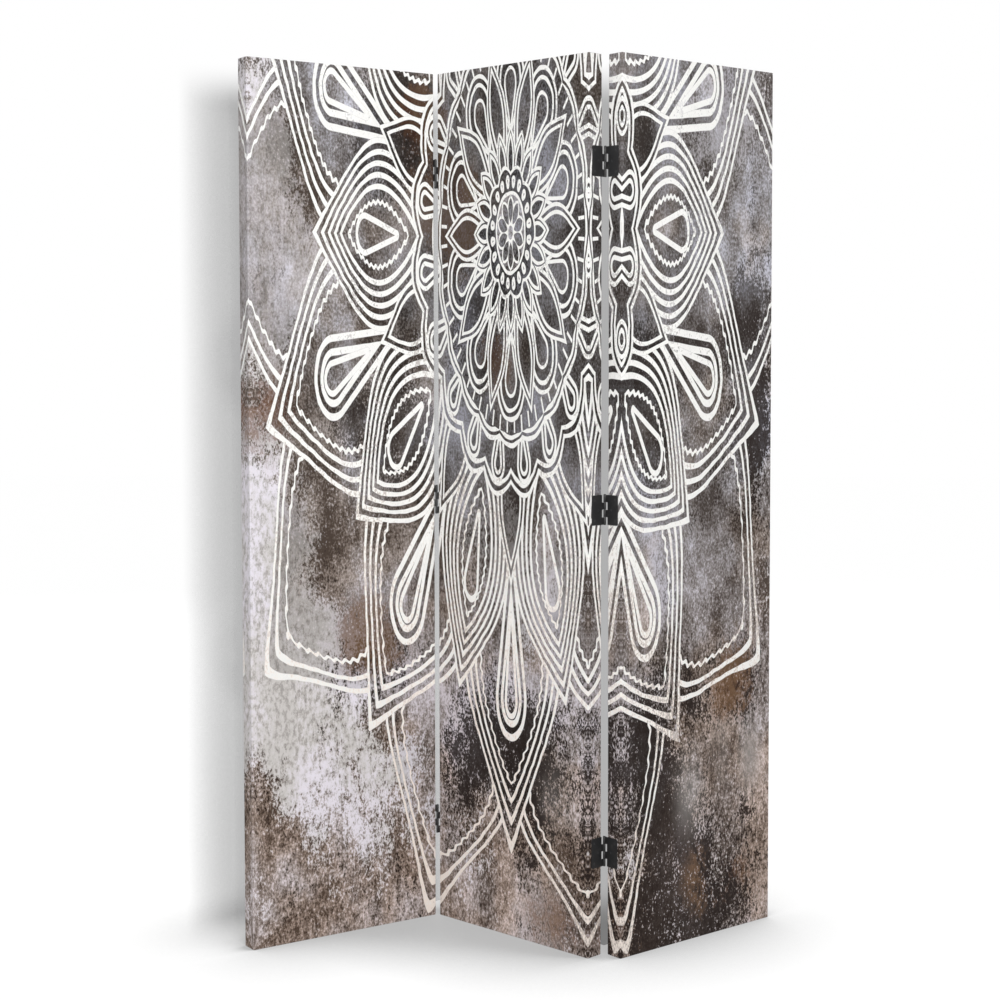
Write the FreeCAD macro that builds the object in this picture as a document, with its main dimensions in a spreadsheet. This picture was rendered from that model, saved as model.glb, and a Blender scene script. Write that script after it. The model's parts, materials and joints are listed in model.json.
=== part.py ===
import FreeCAD, Part
import math
import os
import re

import Sketcher

# A folding screen: three canvas panels on wooden stretcher frames, standing in a zigzag.
# Three butt hinges join each pair of panels. The valley fold, between the left and middle
# panels, has its barrels in front; the ridge fold, on the right, has them behind.
# Lengths are in millimetres and angles in degrees. X runs to the right, Y away from the
# viewer and Z up. A panel is drawn standing on its own middle, facing -Y, and then turned.

SIZES = {
    # Panels, over the canvas
    "panel_width": 360,
    "panel_height": 1500,
    "panel_depth": 32,
    # Canvas, its turn-over on the back and the radius at its folds
    "canvas_thickness": 1,
    "turnover_width": 25,
    "fold_radius": 0.8,
    # Stretcher bars, with a raised lip along the outer front edge
    "bar_width": 35,
    "lip_width": 6,
    "lip_drop": 3,
    "tongue_thickness": 10,
    # Two braces across each frame, flush with its back
    "brace_width": 40,
    "brace_depth": 18,
    "lower_brace_share": 0.333,
    "upper_brace_share": 0.667,
    "tenon_length": 10,
    "tenon_thickness": 8,
    "tenon_shoulder": 5,
    # Staples along the turn-over
    "staple_crown": 10,
    "staple_wire": 0.8,
    "staple_leg": 6,
    "staple_spacing": 110,
    "staple_end": 48,
    # Butt hinges: leaves rolled round a loose pin
    "hinge_height": 50,
    "hinge_reach": 30,
    "hinge_end": 175,
    "leaf_thickness": 1.1,
    "leaf_corner": 3,
    "knuckle_gap": 0.3,
    "notch_reach": 5.5,
    "roll_slit": 0.25,
    "ridge_proud": 6,
    "valley_proud": 3,
    # Hinge pins
    "pin_radius": 1.1,
    "pin_clearance": 0.05,
    "pin_tail": 0.6,
    "pin_chamfer": 0.4,
    "pin_head_radius": 2,
    "pin_head_height": 1.2,
    # Countersunk wood screws, three to a leaf
    "screw_length": 16,
    "screw_tip": 4,
    "screw_radius": 1.5,
    "screw_head_radius": 2.5,
    "screw_clearance": 0.1,
    "screw_near": 15,
    "screw_far": 24,
    "screw_spread": 34,
    "pilot_spare": 1,
    # How far a cut runs past the faces it opens
    "overrun": 2,
}

# How the screen stands: the middle panel's turn and the two folds, from flat.
TURNS = {
    "middle_turn": -42,
    "valley_fold": 78,
    "ridge_fold": 84,
}

NAMED = {**SIZES, **TURNS}

# Places and sizes that follow from the ones above.
PLACES = {
    "half_width": "panel_width / 2",
    "half_depth": "panel_depth / 2",
    "canvas_side": "half_width - canvas_thickness",
    "canvas_front": "canvas_thickness - half_depth",
    "canvas_back": "half_depth - canvas_thickness",
    "margin_side": "half_width - turnover_width",
    "bar_inner": "canvas_side - bar_width",
    "bar_length": "panel_height - 2 * canvas_thickness",
    "brace_middle": "canvas_back - brace_depth / 2",
    "brace_half_width": "brace_width / 2",
    "tenon_half_width": "brace_width / 2 - tenon_shoulder",
    "staple_row_side": "half_width - turnover_width / 2",
    "half_hinge": "hinge_height / 2",
    "quarter_hinge": "hinge_height / 4",
    "bore_radius": "pin_radius + pin_clearance",
    "barrel_radius": "bore_radius + leaf_thickness",
    "screw_hole_radius": "screw_radius + screw_clearance",
    "hinge_travel": "panel_height - 2 * hinge_end",
}

ENDS = ("bottom", "top")
BRACES = ("lower", "upper")
SIDES = {"left": -1, "right": 1}
HINGES = ("lower", "middle", "upper")
HALF_TURN = 180
WORD = re.compile(r"[a-z_]+")

doc = FreeCAD.newDocument("folding_screen")
sheet = doc.addObject("Spreadsheet::Sheet", "Sizes")
sub_parts = []


def fill_sheet():
    """Write each size and turn beside its name and give the cell that name."""
    for row, (name, size) in enumerate(NAMED.items(), start=1):
        sheet.set(f"A{row}", name)
        sheet.set(f"B{row}", str(size))
        sheet.setAlias(f"B{row}", name)
    doc.recompute()


def cells(text):
    """Turn the named sizes and places in an expression into the sheet's cells."""
    def named(match):
        word = match.group(0)
        if word in PLACES:
            return "(" + cells(PLACES[word]) + ")"
        return "Sizes." + word if word in NAMED else word
    return WORD.sub(named, str(text))


def size_of(text):
    """The present value of an expression in named sizes."""
    return float(sheet.evalExpression(cells(text)))


def times(sign, text):
    """An expression on the right-hand side, or its mirror image on the left."""
    return f"{sign} * ({text})"


def up_from(end, text):
    """A height measured inwards from the top or the bottom end of a panel."""
    return f"panel_height - ({text})" if end == "top" else text


def new_body(label):
    """A new sub-part, whose label names its file."""
    body = doc.addObject("PartDesign::Body", label)
    body.Label = label
    sub_parts.append(body)
    return body


def origin_of(body, role):
    """One of a body's own origin planes or axes."""
    return next(item for item in body.Origin.OriginFeatures if item.Role == role)


def sketch_on(body, role, lift="0", across="0", along="0"):
    """A sketch on an origin plane, moved off it by lift and within it by across and along."""
    sketch = body.newObject("Sketcher::SketchObject", body.Label + "_sketch")
    sketch.AttachmentSupport = [(origin_of(body, role), "")]
    sketch.MapMode = "FlatFace"
    for axis, shift in (("x", across), ("y", along), ("z", lift)):
        sketch.setExpression(f"AttachmentOffset.Base.{axis}", cells(shift))
    return sketch


def add_bound(sketch, rules):
    """Add constraints; each comes with the expression that drives it, or with None."""
    first = sketch.ConstraintCount
    sketch.addConstraint([rule for rule, _ in rules])
    for number, (_, text) in enumerate(rules, start=first):
        if text is not None:
            sketch.setExpression(f"Constraints[{number}]", cells(text))


def fixed_point(geometry, end, across, along):
    """The two rules that hold one end of a line or arc at a named place."""
    return [
        (Sketcher.Constraint("DistanceX", -1, 1, geometry, end, size_of(across)), across),
        (Sketcher.Constraint("DistanceY", -1, 1, geometry, end, size_of(along)), along),
    ]


def polygon(sketch, points):
    """Draw a closed outline whose corners are pairs of expressions."""
    corners = [FreeCAD.Vector(size_of(across), size_of(along), 0) for across, along in points]
    first = sketch.GeometryCount
    count = len(corners)
    sketch.addGeometry(
        [Part.LineSegment(corners[n], corners[(n + 1) % count]) for n in range(count)], False)
    rules = []
    for number, (across, along) in enumerate(points):
        follower = first + (number + 1) % count
        rules.append((Sketcher.Constraint("Coincident", first + number, 2, follower, 1), None))
        rules += fixed_point(first + number, 1, across, along)
    add_bound(sketch, rules)


def circles(sketch, centres, radius):
    """Draw circles of one radius about pairs of expressions."""
    rules = []
    for across, along in centres:
        number = sketch.GeometryCount
        centre = FreeCAD.Vector(size_of(across), size_of(along), 0)
        sketch.addGeometry(Part.Circle(centre, FreeCAD.Vector(0, 0, 1), size_of(radius)), False)
        rules += fixed_point(number, 3, across, along)
        rules.append((Sketcher.Constraint("Radius", number, size_of(radius)), radius))
    add_bound(sketch, rules)


def straight_feature(kind, body, sketch, length, both_ways, backwards):
    """A pad or pocket of a sketch, along its normal or both ways from its plane."""
    feature = body.newObject(kind, body.Label + "_feature")
    feature.Profile = sketch
    feature.setExpression("Length", cells(length))
    feature.Midplane = both_ways
    feature.Reversed = backwards
    body.Tip = feature
    return feature


def pad(body, sketch, length, both_ways=False, backwards=False):
    """Raise a sketch by a length."""
    return straight_feature("PartDesign::Pad", body, sketch, length, both_ways, backwards)


def pocket(body, sketch, depth, both_ways=False, backwards=False):
    """Sink a sketch to a depth."""
    return straight_feature("PartDesign::Pocket", body, sketch, depth, both_ways, backwards)


def revolve(body, sketch, axis):
    """Turn a sketch once round one of its own axes."""
    feature = body.newObject("PartDesign::Revolution", body.Label + "_turned")
    feature.Profile = sketch
    feature.ReferenceAxis = (sketch, [axis])
    body.Tip = feature
    return feature


def repeat(body, feature, axis, travel, count):
    """Repeat a feature evenly along one of the body's axes, from first to last."""
    pattern = body.newObject("PartDesign::LinearPattern", body.Label + "_row")
    pattern.Originals = [feature]
    pattern.Direction = (origin_of(body, axis), [""])
    pattern.setExpression("Length", cells(travel))
    pattern.Occurrences = count
    body.Tip = pattern
    return pattern


def edges_where(shape, test):
    """The names of a shape's edges whose end points pass a test."""
    return [f"Edge{number}" for number, edge in enumerate(shape.Edges, start=1)
            if test([corner.Point for corner in edge.Vertexes])]


def round_edges(body, test, radius):
    """Round the edges of a body whose end points pass a test."""
    doc.recompute()
    base = body.Tip
    feature = body.newObject("PartDesign::Fillet", body.Label + "_rounded")
    feature.Base = (base, edges_where(base.Shape, test))
    feature.setExpression("Radius", cells(radius))
    body.Tip = feature


def near(found, text):
    """Whether a coordinate lies at a named place."""
    return abs(found - size_of(text)) < size_of("fold_radius / 100")


def all_at(points, axis, text):
    """Whether one coordinate of every point lies at a named place."""
    return all(near(getattr(point, axis), text) for point in points)


def stile(panel, side, fold):
    """One upright stretcher bar: mitred, tongued, mortised and drilled for its hinges."""
    sign = SIDES[side]
    body = new_body(f"{panel}_{side}_stile")
    section = sketch_on(body, "XY_Plane", "canvas_thickness")
    polygon(section, [
        (times(sign, "canvas_side"), "canvas_front"),
        (times(sign, "canvas_side - lip_width"), "canvas_front"),
        (times(sign, "bar_inner"), "canvas_front + lip_drop"),
        (times(sign, "bar_inner"), "canvas_back"),
        (times(sign, "canvas_side"), "canvas_back")])
    pad(body, section, "bar_length")
    mitres = sketch_on(body, "XZ_Plane")
    tongues = sketch_on(body, "XZ_Plane")
    for end in ENDS:
        polygon(mitres, [
            (times(sign, "canvas_side + overrun"), up_from(end, "canvas_thickness - overrun")),
            (times(sign, "bar_inner - overrun"), up_from(end, "canvas_thickness - overrun")),
            (times(sign, "bar_inner - overrun"),
             up_from(end, "canvas_thickness + bar_width + overrun"))])
        polygon(tongues, [
            (times(sign, "canvas_side"), up_from(end, "canvas_thickness")),
            (times(sign, "bar_inner"), up_from(end, "canvas_thickness")),
            (times(sign, "bar_inner"), up_from(end, "canvas_thickness + bar_width"))])
    pocket(body, mitres, "panel_depth", both_ways=True)
    pad(body, tongues, "tongue_thickness", both_ways=True)
    mortises = sketch_on(body, "YZ_Plane", times(sign, "bar_inner"))
    for brace in BRACES:
        level = f"panel_height * {brace}_brace_share"
        box_outline(mortises, "brace_middle", "tenon_thickness / 2", level, "tenon_half_width")
    pocket(body, mortises, "tenon_length", backwards=sign > 0)
    if fold:
        drill_screw_holes(body, sign, fold, "canvas_side", "screw_length + pilot_spare")


def box_outline(sketch, across, half_across, along, half_along):
    """Draw a rectangle about a centre."""
    low, high = f"{across} - {half_across}", f"{across} + {half_across}"
    bottom, top = f"{along} - {half_along}", f"{along} + {half_along}"
    polygon(sketch, [(low, bottom), (high, bottom), (high, top), (low, top)])


def rail(panel, end):
    """The top or bottom stretcher bar, mitred and slotted for the stiles' tongues."""
    body = new_body(f"{panel}_{end}_rail")
    section = sketch_on(body, "YZ_Plane")
    polygon(section, [
        ("canvas_front", up_from(end, "canvas_thickness")),
        ("canvas_front", up_from(end, "canvas_thickness + lip_width")),
        ("canvas_front + lip_drop", up_from(end, "canvas_thickness + bar_width")),
        ("canvas_back", up_from(end, "canvas_thickness + bar_width")),
        ("canvas_back", up_from(end, "canvas_thickness"))])
    pad(body, section, "2 * canvas_side", both_ways=True)
    mitres = sketch_on(body, "XZ_Plane")
    slots = sketch_on(body, "XZ_Plane")
    for sign in SIDES.values():
        polygon(mitres, [
            (times(sign, "canvas_side + overrun"), up_from(end, "canvas_thickness - overrun")),
            (times(sign, "canvas_side + overrun"),
             up_from(end, "canvas_thickness + bar_width + overrun")),
            (times(sign, "bar_inner - overrun"),
             up_from(end, "canvas_thickness + bar_width + overrun"))])
        polygon(slots, [
            (times(sign, "bar_inner"), up_from(end, "canvas_thickness - overrun")),
            (times(sign, "canvas_side + overrun"), up_from(end, "canvas_thickness - overrun")),
            (times(sign, "canvas_side + overrun"),
             up_from(end, "canvas_thickness + bar_width + overrun")),
            (times(sign, "bar_inner"),
             up_from(end, "canvas_thickness + bar_width + overrun"))])
    pocket(body, mitres, "panel_depth", both_ways=True)
    pocket(body, slots, "tongue_thickness", both_ways=True)


def brace(panel, place):
    """One cross brace with a stub tenon at each end."""
    body = new_body(f"{panel}_{place}_brace")
    level = f"panel_height * {place}_brace_share"
    shoulders = sketch_on(body, "YZ_Plane")
    box_outline(shoulders, "brace_middle", "brace_depth / 2", level, "brace_half_width")
    pad(body, shoulders, "2 * bar_inner", both_ways=True)
    tenons = sketch_on(body, "YZ_Plane")
    box_outline(tenons, "brace_middle", "tenon_thickness / 2", level, "tenon_half_width")
    pad(body, tenons, "2 * (bar_inner + tenon_length)", both_ways=True)


def canvas_face(panel):
    """The stretched front of the canvas, rounded where it folds over the bars."""
    body = new_body(f"{panel}_canvas_face")
    outline = sketch_on(body, "XZ_Plane", "half_depth")
    polygon(outline, [("-half_width", "0"), ("half_width", "0"),
                      ("half_width", "panel_height"), ("-half_width", "panel_height")])
    pad(body, outline, "canvas_thickness", backwards=True)
    round_edges(body, lambda points: all_at(points, "y", "-half_depth"), "fold_radius")


def side_turnover(panel, side, fold):
    """The canvas over one stile: its edge and its margin on the back, mitred at both ends."""
    sign = SIDES[side]
    body = new_body(f"{panel}_canvas_{side}_turnover")
    section = sketch_on(body, "XY_Plane")
    polygon(section, [
        (times(sign, "canvas_side"), "canvas_front"),
        (times(sign, "half_width"), "canvas_front"),
        (times(sign, "half_width"), "half_depth"),
        (times(sign, "margin_side"), "half_depth"),
        (times(sign, "margin_side"), "canvas_back"),
        (times(sign, "canvas_side"), "canvas_back")])
    pad(body, section, "panel_height")
    mitres = sketch_on(body, "XZ_Plane")
    for end in ENDS:
        polygon(mitres, [
            (times(sign, "margin_side - overrun"), up_from(end, "turnover_width + overrun")),
            (times(sign, "canvas_side"), up_from(end, "canvas_thickness")),
            (times(sign, "canvas_side"), up_from(end, "-overrun")),
            (times(sign, "margin_side - overrun"), up_from(end, "-overrun"))])
    pocket(body, mitres, "panel_depth + overrun", both_ways=True)
    round_back_edge(body, "x", times(sign, "half_width"))
    if fold:
        drill_screw_holes(body, sign, fold, "half_width", "canvas_thickness + overrun")


def round_back_edge(body, axis, place):
    """Round the fold at the outer back edge of a turn-over."""
    round_edges(body, lambda points: all_at(points, "y", "half_depth")
                and all_at(points, axis, place), "fold_radius")


def end_turnover(panel, end):
    """The canvas over the top or bottom rail, with a doubled flap folded in at each corner."""
    body = new_body(f"{panel}_canvas_{end}_turnover")
    section = sketch_on(body, "YZ_Plane")
    polygon(section, [
        ("canvas_front", up_from(end, "canvas_thickness")),
        ("canvas_front", up_from(end, "0")),
        ("half_depth", up_from(end, "0")),
        ("half_depth", up_from(end, "turnover_width")),
        ("canvas_back", up_from(end, "turnover_width")),
        ("canvas_back", up_from(end, "canvas_thickness"))])
    pad(body, section, "2 * canvas_side", both_ways=True)
    mitres = sketch_on(body, "XZ_Plane")
    for sign in SIDES.values():
        polygon(mitres, [
            (times(sign, "canvas_side"), up_from(end, "canvas_thickness")),
            (times(sign, "canvas_side + overrun"), up_from(end, "canvas_thickness")),
            (times(sign, "canvas_side + overrun"), up_from(end, "turnover_width + overrun")),
            (times(sign, "margin_side - overrun"), up_from(end, "turnover_width + overrun"))])
    pocket(body, mitres, "panel_depth + overrun", both_ways=True)
    round_back_edge(body, "z", up_from(end, "0"))
    flaps = sketch_on(body, "XZ_Plane", "-half_depth")
    for sign in SIDES.values():
        polygon(flaps, [
            (times(sign, "canvas_side"), up_from(end, "canvas_thickness")),
            (times(sign, "margin_side"), up_from(end, "canvas_thickness")),
            (times(sign, "margin_side"), up_from(end, "turnover_width"))])
    pad(body, flaps, "canvas_thickness", backwards=True)


def staples(panel):
    """All the staples of one panel: a row along each margin, legs in the bars."""
    body = new_body(f"{panel}_staples")
    for sign in SIDES.values():
        row = sketch_on(body, "YZ_Plane", times(sign, "staple_row_side"))
        polygon(row, [(depth, along) for along, depth in staple_outline("staple_end")])
        staple = pad(body, row, "staple_wire", both_ways=True)
        travel = "panel_height - 2 * staple_end"
        repeat(body, staple, "Z_Axis", travel, copies(travel))
    for end in ENDS:
        row = sketch_on(body, "XY_Plane", up_from(end, "turnover_width / 2"))
        polygon(row, staple_outline("staple_end - half_width"))
        staple = pad(body, row, "staple_wire", both_ways=True)
        travel = "panel_width - 2 * staple_end"
        repeat(body, staple, "X_Axis", travel, copies(travel))


def staple_outline(middle):
    """A staple seen along its row: pairs of place along the row and depth."""
    low, high = f"{middle} - staple_crown / 2", f"{middle} + staple_crown / 2"
    tip = "half_depth - staple_leg"
    return [
        (low, tip), (low, "half_depth + staple_wire"), (high, "half_depth + staple_wire"),
        (high, tip), (high + " - staple_wire", tip), (high + " - staple_wire", "half_depth"),
        (low + " + staple_wire", "half_depth"), (low + " + staple_wire", tip)]


def copies(travel):
    """How many staples fill a row at about their spacing."""
    return round(size_of(travel) / size_of("staple_spacing")) + 1


def screw_places(fold):
    """Where a leaf's three screws lie: pairs of depth in the panel and height on the hinge."""
    def depth(reach):
        if fold == "ridge":
            return f"half_depth + ridge_proud - {reach}"
        return f"{reach} - half_depth - valley_proud"
    return [(depth("screw_far"), "hinge_end - screw_spread / 2"),
            (depth("screw_near"), "hinge_end"),
            (depth("screw_far"), "hinge_end + screw_spread / 2")]


def drill_screw_holes(body, sign, fold, face, depth):
    """Drill for the screws of all the hinges on one side of a panel, from a named face."""
    holes = sketch_on(body, "YZ_Plane", times(sign, face))
    circles(holes, screw_places(fold), "screw_hole_radius")
    drilled = pocket(body, holes, depth, backwards=sign < 0)
    repeat(body, drilled, "Z_Axis", "hinge_travel", len(HINGES))


def hinge_screws(panel, folds):
    """All the hinge screws in one panel, with cone heads flush in the leaves."""
    body = new_body(f"{panel}_hinge_screws")
    for side, fold in folds.items():
        sign = SIDES[side]
        for depth, level in screw_places(fold):
            outline = sketch_on(body, "XY_Plane", level,
                                times(sign, "half_width + leaf_thickness"), depth)
            polygon(outline, [
                ("0", "0"),
                ("0", "screw_head_radius"),
                (times(-sign, "screw_head_radius - screw_radius"), "screw_radius"),
                (times(-sign, "screw_length - screw_tip"), "screw_radius"),
                (times(-sign, "screw_length"), "0")])
            screw = revolve(body, outline, "H_Axis")
            repeat(body, screw, "Z_Axis", "hinge_travel", len(HINGES))


def rolled_section(sketch):
    """A leaf seen from its end: a flat plate whose edge rolls round the pin.

    The pin is at the origin. The plate's outer face lies on the barrel's tangent at -X, and
    the roll ends a slit's width short of the plate's inner face.
    """
    outer, inner = size_of("barrel_radius"), size_of("bore_radius")
    slit_x = "roll_slit - bore_radius"
    far = size_of("-hinge_reach")
    turned = FreeCAD.Vector(0, 0, 1)
    centre = FreeCAD.Vector(0, 0, 0)
    end = FreeCAD.Vector(size_of(slit_x), -(outer**2 - size_of(slit_x)**2) ** 0.5, 0)
    end_angle = -FreeCAD.Vector(1, 0, 0).getAngle(end)
    inner_end = end * (inner / outer)
    sketch.addGeometry([
        Part.ArcOfCircle(Part.Circle(centre, turned, outer), end_angle, math.pi),
        Part.ArcOfCircle(Part.Circle(centre, turned, inner), end_angle, math.pi),
        Part.LineSegment(end, inner_end),
        Part.LineSegment(FreeCAD.Vector(-outer, 0, 0), FreeCAD.Vector(-outer, far, 0)),
        Part.LineSegment(FreeCAD.Vector(-outer, far, 0), FreeCAD.Vector(-inner, far, 0)),
        Part.LineSegment(FreeCAD.Vector(-inner, far, 0), FreeCAD.Vector(-inner, 0, 0))], False)
    outside, inside, roll_end, back, edge, front = range(6)
    rules = [
        (Sketcher.Constraint("Coincident", outside, 3, -1, 1), None),
        (Sketcher.Constraint("Coincident", inside, 3, -1, 1), None),
        (Sketcher.Constraint("Radius", outside, outer), "barrel_radius"),
        (Sketcher.Constraint("Radius", inside, inner), "bore_radius"),
        (Sketcher.Constraint("Coincident", outside, 1, roll_end, 1), None),
        (Sketcher.Constraint("Coincident", inside, 1, roll_end, 2), None),
        (Sketcher.Constraint("PointOnObject", -1, 1, roll_end), None),
        (Sketcher.Constraint("DistanceX", -1, 1, roll_end, 1, size_of(slit_x)), slit_x),
        (Sketcher.Constraint("Coincident", outside, 2, back, 1), None),
        (Sketcher.Constraint("PointOnObject", back, 1, -1), None),
        (Sketcher.Constraint("Coincident", back, 2, edge, 1), None),
        (Sketcher.Constraint("Coincident", edge, 2, front, 1), None),
        (Sketcher.Constraint("Coincident", front, 2, inside, 2), None),
        (Sketcher.Constraint("PointOnObject", front, 2, -1), None)]
    rules += fixed_point(edge, 1, "-barrel_radius", "-hinge_reach")
    rules += fixed_point(edge, 2, "-bore_radius", "-hinge_reach")
    add_bound(sketch, rules)


def hinge_leaf(label):
    """One leaf with two rolled knuckles, notched for the other leaf's two knuckles."""
    body = new_body(label)
    section = sketch_on(body, "XY_Plane", "-half_hinge")
    rolled_section(section)
    pad(body, section, "hinge_height")
    notches = sketch_on(body, "YZ_Plane")
    for low, high in (("quarter_hinge - knuckle_gap / 2", "half_hinge + overrun"),
                      ("-quarter_hinge - knuckle_gap / 2", "knuckle_gap / 2")):
        polygon(notches, [("-notch_reach", low), ("barrel_radius + overrun", low),
                          ("barrel_radius + overrun", high), ("-notch_reach", high)])
    pocket(body, notches, "2 * (barrel_radius + overrun)", both_ways=True)
    for corner in ("-half_hinge", "half_hinge"):
        round_edges(body, lambda points, at=corner: all_at(points, "y", "-hinge_reach")
                    and all_at(points, "z", at), "leaf_corner")
    holes = sketch_on(body, "YZ_Plane")
    circles(holes, [("-screw_far", "-screw_spread / 2"), ("-screw_near", "0"),
                    ("-screw_far", "screw_spread / 2")], "screw_hole_radius")
    pocket(body, holes, "barrel_radius + overrun")
    countersink(body)
    return body


def countersink(body):
    """Bevel the screw holes on the leaf's inner face, to the size of the screw heads."""
    doc.recompute()
    base = body.Tip
    rims = [f"Edge{number}" for number, edge in enumerate(base.Shape.Edges, start=1)
            if isinstance(edge.Curve, Part.Circle) and near(edge.Curve.Radius, "screw_hole_radius")
            and near(edge.Curve.Center.x, "-bore_radius")]
    bevel = body.newObject("PartDesign::Chamfer", body.Label + "_countersinks")
    bevel.Base = (base, rims)
    bevel.setExpression("Size", cells("screw_head_radius - screw_hole_radius"))
    body.Tip = bevel


def hinge_pin(label):
    """A loose pin: a bevelled tail, and a button head that rests on the top knuckle."""
    body = new_body(label)
    outline = sketch_on(body, "XZ_Plane")
    polygon(outline, [
        ("0", "-half_hinge - pin_tail"),
        ("pin_radius - pin_chamfer", "-half_hinge - pin_tail"),
        ("pin_radius", "pin_chamfer - half_hinge - pin_tail"),
        ("pin_radius", "half_hinge"),
        ("pin_head_radius", "half_hinge"),
        ("pin_head_radius", "half_hinge + pin_head_height / 2"),
        ("pin_head_radius - pin_head_height / 2", "half_hinge + pin_head_height"),
        ("0", "half_hinge + pin_head_height")])
    revolve(body, outline, "V_Axis")
    return body


def plan_turn(angle):
    """A turn about the vertical."""
    return FreeCAD.Placement(FreeCAD.Vector(), FreeCAD.Rotation(FreeCAD.Vector(0, 0, 1), angle))


def moved(across, depth, height="0"):
    """A move by named distances."""
    return FreeCAD.Placement(
        FreeCAD.Vector(size_of(across), size_of(depth), size_of(height)), FreeCAD.Rotation())


def pin_line(panel_side, fold):
    """Where a panel's hinge pins stand in its own frame, and how its leaves are turned."""
    across = times(SIDES[panel_side], "half_width + barrel_radius")
    if fold == "ridge":
        return moved(across, "half_depth + ridge_proud")
    return moved(across, "-half_depth - valley_proud").multiply(plan_turn(HALF_TURN))


def stand_panels():
    """Place the three panels in their zigzag, about the middle of the floor they cover."""
    middle = plan_turn(size_of("middle_turn"))
    ridge_turn = plan_turn(size_of("ridge_fold"))
    valley_turn = plan_turn(size_of("valley_fold"))
    right = middle.multiply(pin_line("right", "ridge")).multiply(ridge_turn)
    right = right.multiply(pin_line("left", "ridge").inverse())
    left = middle.multiply(pin_line("left", "valley")).multiply(valley_turn)
    left = left.multiply(pin_line("right", "valley").inverse())
    places = {"left": left, "middle": middle, "right": right}
    box = FreeCAD.BoundBox()
    for place in places.values():
        add_plan_corners(box, place)
    centring = FreeCAD.Placement(FreeCAD.Vector(-box.Center.x, -box.Center.y, 0),
                                 FreeCAD.Rotation())
    return {panel: centring.multiply(place) for panel, place in places.items()}


def add_plan_corners(box, place):
    """Widen a box by a placed panel's rounded corners, seen from above, and its flaps'."""
    for sign in SIDES.values():
        flap = moved(times(sign, "canvas_side"), "half_depth + canvas_thickness").Base
        box.add(place.multVec(flap))
        for depth in ("fold_radius - half_depth", "half_depth - fold_radius"):
            centre = place.multVec(moved(times(sign, "half_width - fold_radius"), depth).Base)
            fold = FreeCAD.BoundBox(centre, centre)
            fold.enlarge(size_of("fold_radius"))
            box.add(fold)


def build_panel(panel, place, folds):
    """Make every piece of one panel and stand it in its place."""
    first = len(sub_parts)
    for side in SIDES:
        stile(panel, side, folds.get(side))
    for end in ENDS:
        rail(panel, end)
    for level in BRACES:
        brace(panel, level)
    canvas_face(panel)
    for side in SIDES:
        side_turnover(panel, side, folds.get(side))
    for end in ENDS:
        end_turnover(panel, end)
    staples(panel)
    hinge_screws(panel, folds)
    for body in sub_parts[first:]:
        body.Placement = place


def build_hinges(fold, outer_place, middle_place, outer_side, middle_side):
    """Make the three hinges of one fold: a leaf on each panel and a loose pin.

    The two leaves are the same pressing. The outer panel's is turned upside down, so that its
    knuckles fill the notches of the other, and it carries the pin.
    """
    upside_down = FreeCAD.Placement(
        FreeCAD.Vector(), FreeCAD.Rotation(FreeCAD.Vector(0, 1, 0), HALF_TURN))
    travel = size_of("hinge_travel") / (len(HINGES) - 1)
    for number, level in enumerate(HINGES):
        lift = moved("0", "0", "hinge_end")
        lift.Base.z += number * travel
        middle_pin = middle_place.multiply(lift).multiply(pin_line(middle_side, fold))
        outer_pin = outer_place.multiply(lift).multiply(pin_line(outer_side, fold))
        name = f"{fold}_{level}_hinge"
        hinge_leaf(f"{name}_middle_leaf").Placement = middle_pin
        hinge_leaf(f"{name}_outer_leaf").Placement = outer_pin.multiply(upside_down)
        hinge_pin(f"{name}_pin").Placement = outer_pin


def check_and_export():
    """Stop if any object failed or any piece is not sound, then write one file per piece."""
    doc.recompute()
    failed = [item.Label for item in doc.Objects
              if "Invalid" in item.State or "Error" in item.State]
    failed += [body.Label for body in sub_parts if body.Shape.isNull() or not body.Shape.isValid()]
    if failed:
        raise RuntimeError("Failed: " + ", ".join(failed))
    os.makedirs("parts", exist_ok=True)
    for body in sub_parts:
        body.Shape.exportStep(f"parts/{body.Label}.step")
        print(f"{body.Label}: {len(body.Shape.Solids)} solids, {body.Shape.Volume:.0f} mm3")


fill_sheet()
stand = stand_panels()
build_panel("left", stand["left"], {"right": "valley"})
build_panel("middle", stand["middle"], {"left": "valley", "right": "ridge"})
build_panel("right", stand["right"], {"left": "ridge"})
build_hinges("valley", stand["left"], stand["middle"], "right", "left")
build_hinges("ridge", stand["right"], stand["middle"], "left", "right")
check_and_export()
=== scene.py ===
"""A folding screen of three stretched canvases, dressed for its picture.

Each panel is one printed cloth wrapped round a pine stretcher frame and stapled behind. Three
black butt hinges join each pair of panels. Lengths are in metres: X runs to the right, Y away
from someone who looks at the print, and Z up. A panel is worked out standing on its own
middle, facing -Y, and is then turned and moved to where its hinges hold it.
"""

import json
import logging
import math
from dataclasses import dataclass, field
from enum import Enum
from functools import cache
from typing import Callable, Union

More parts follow.
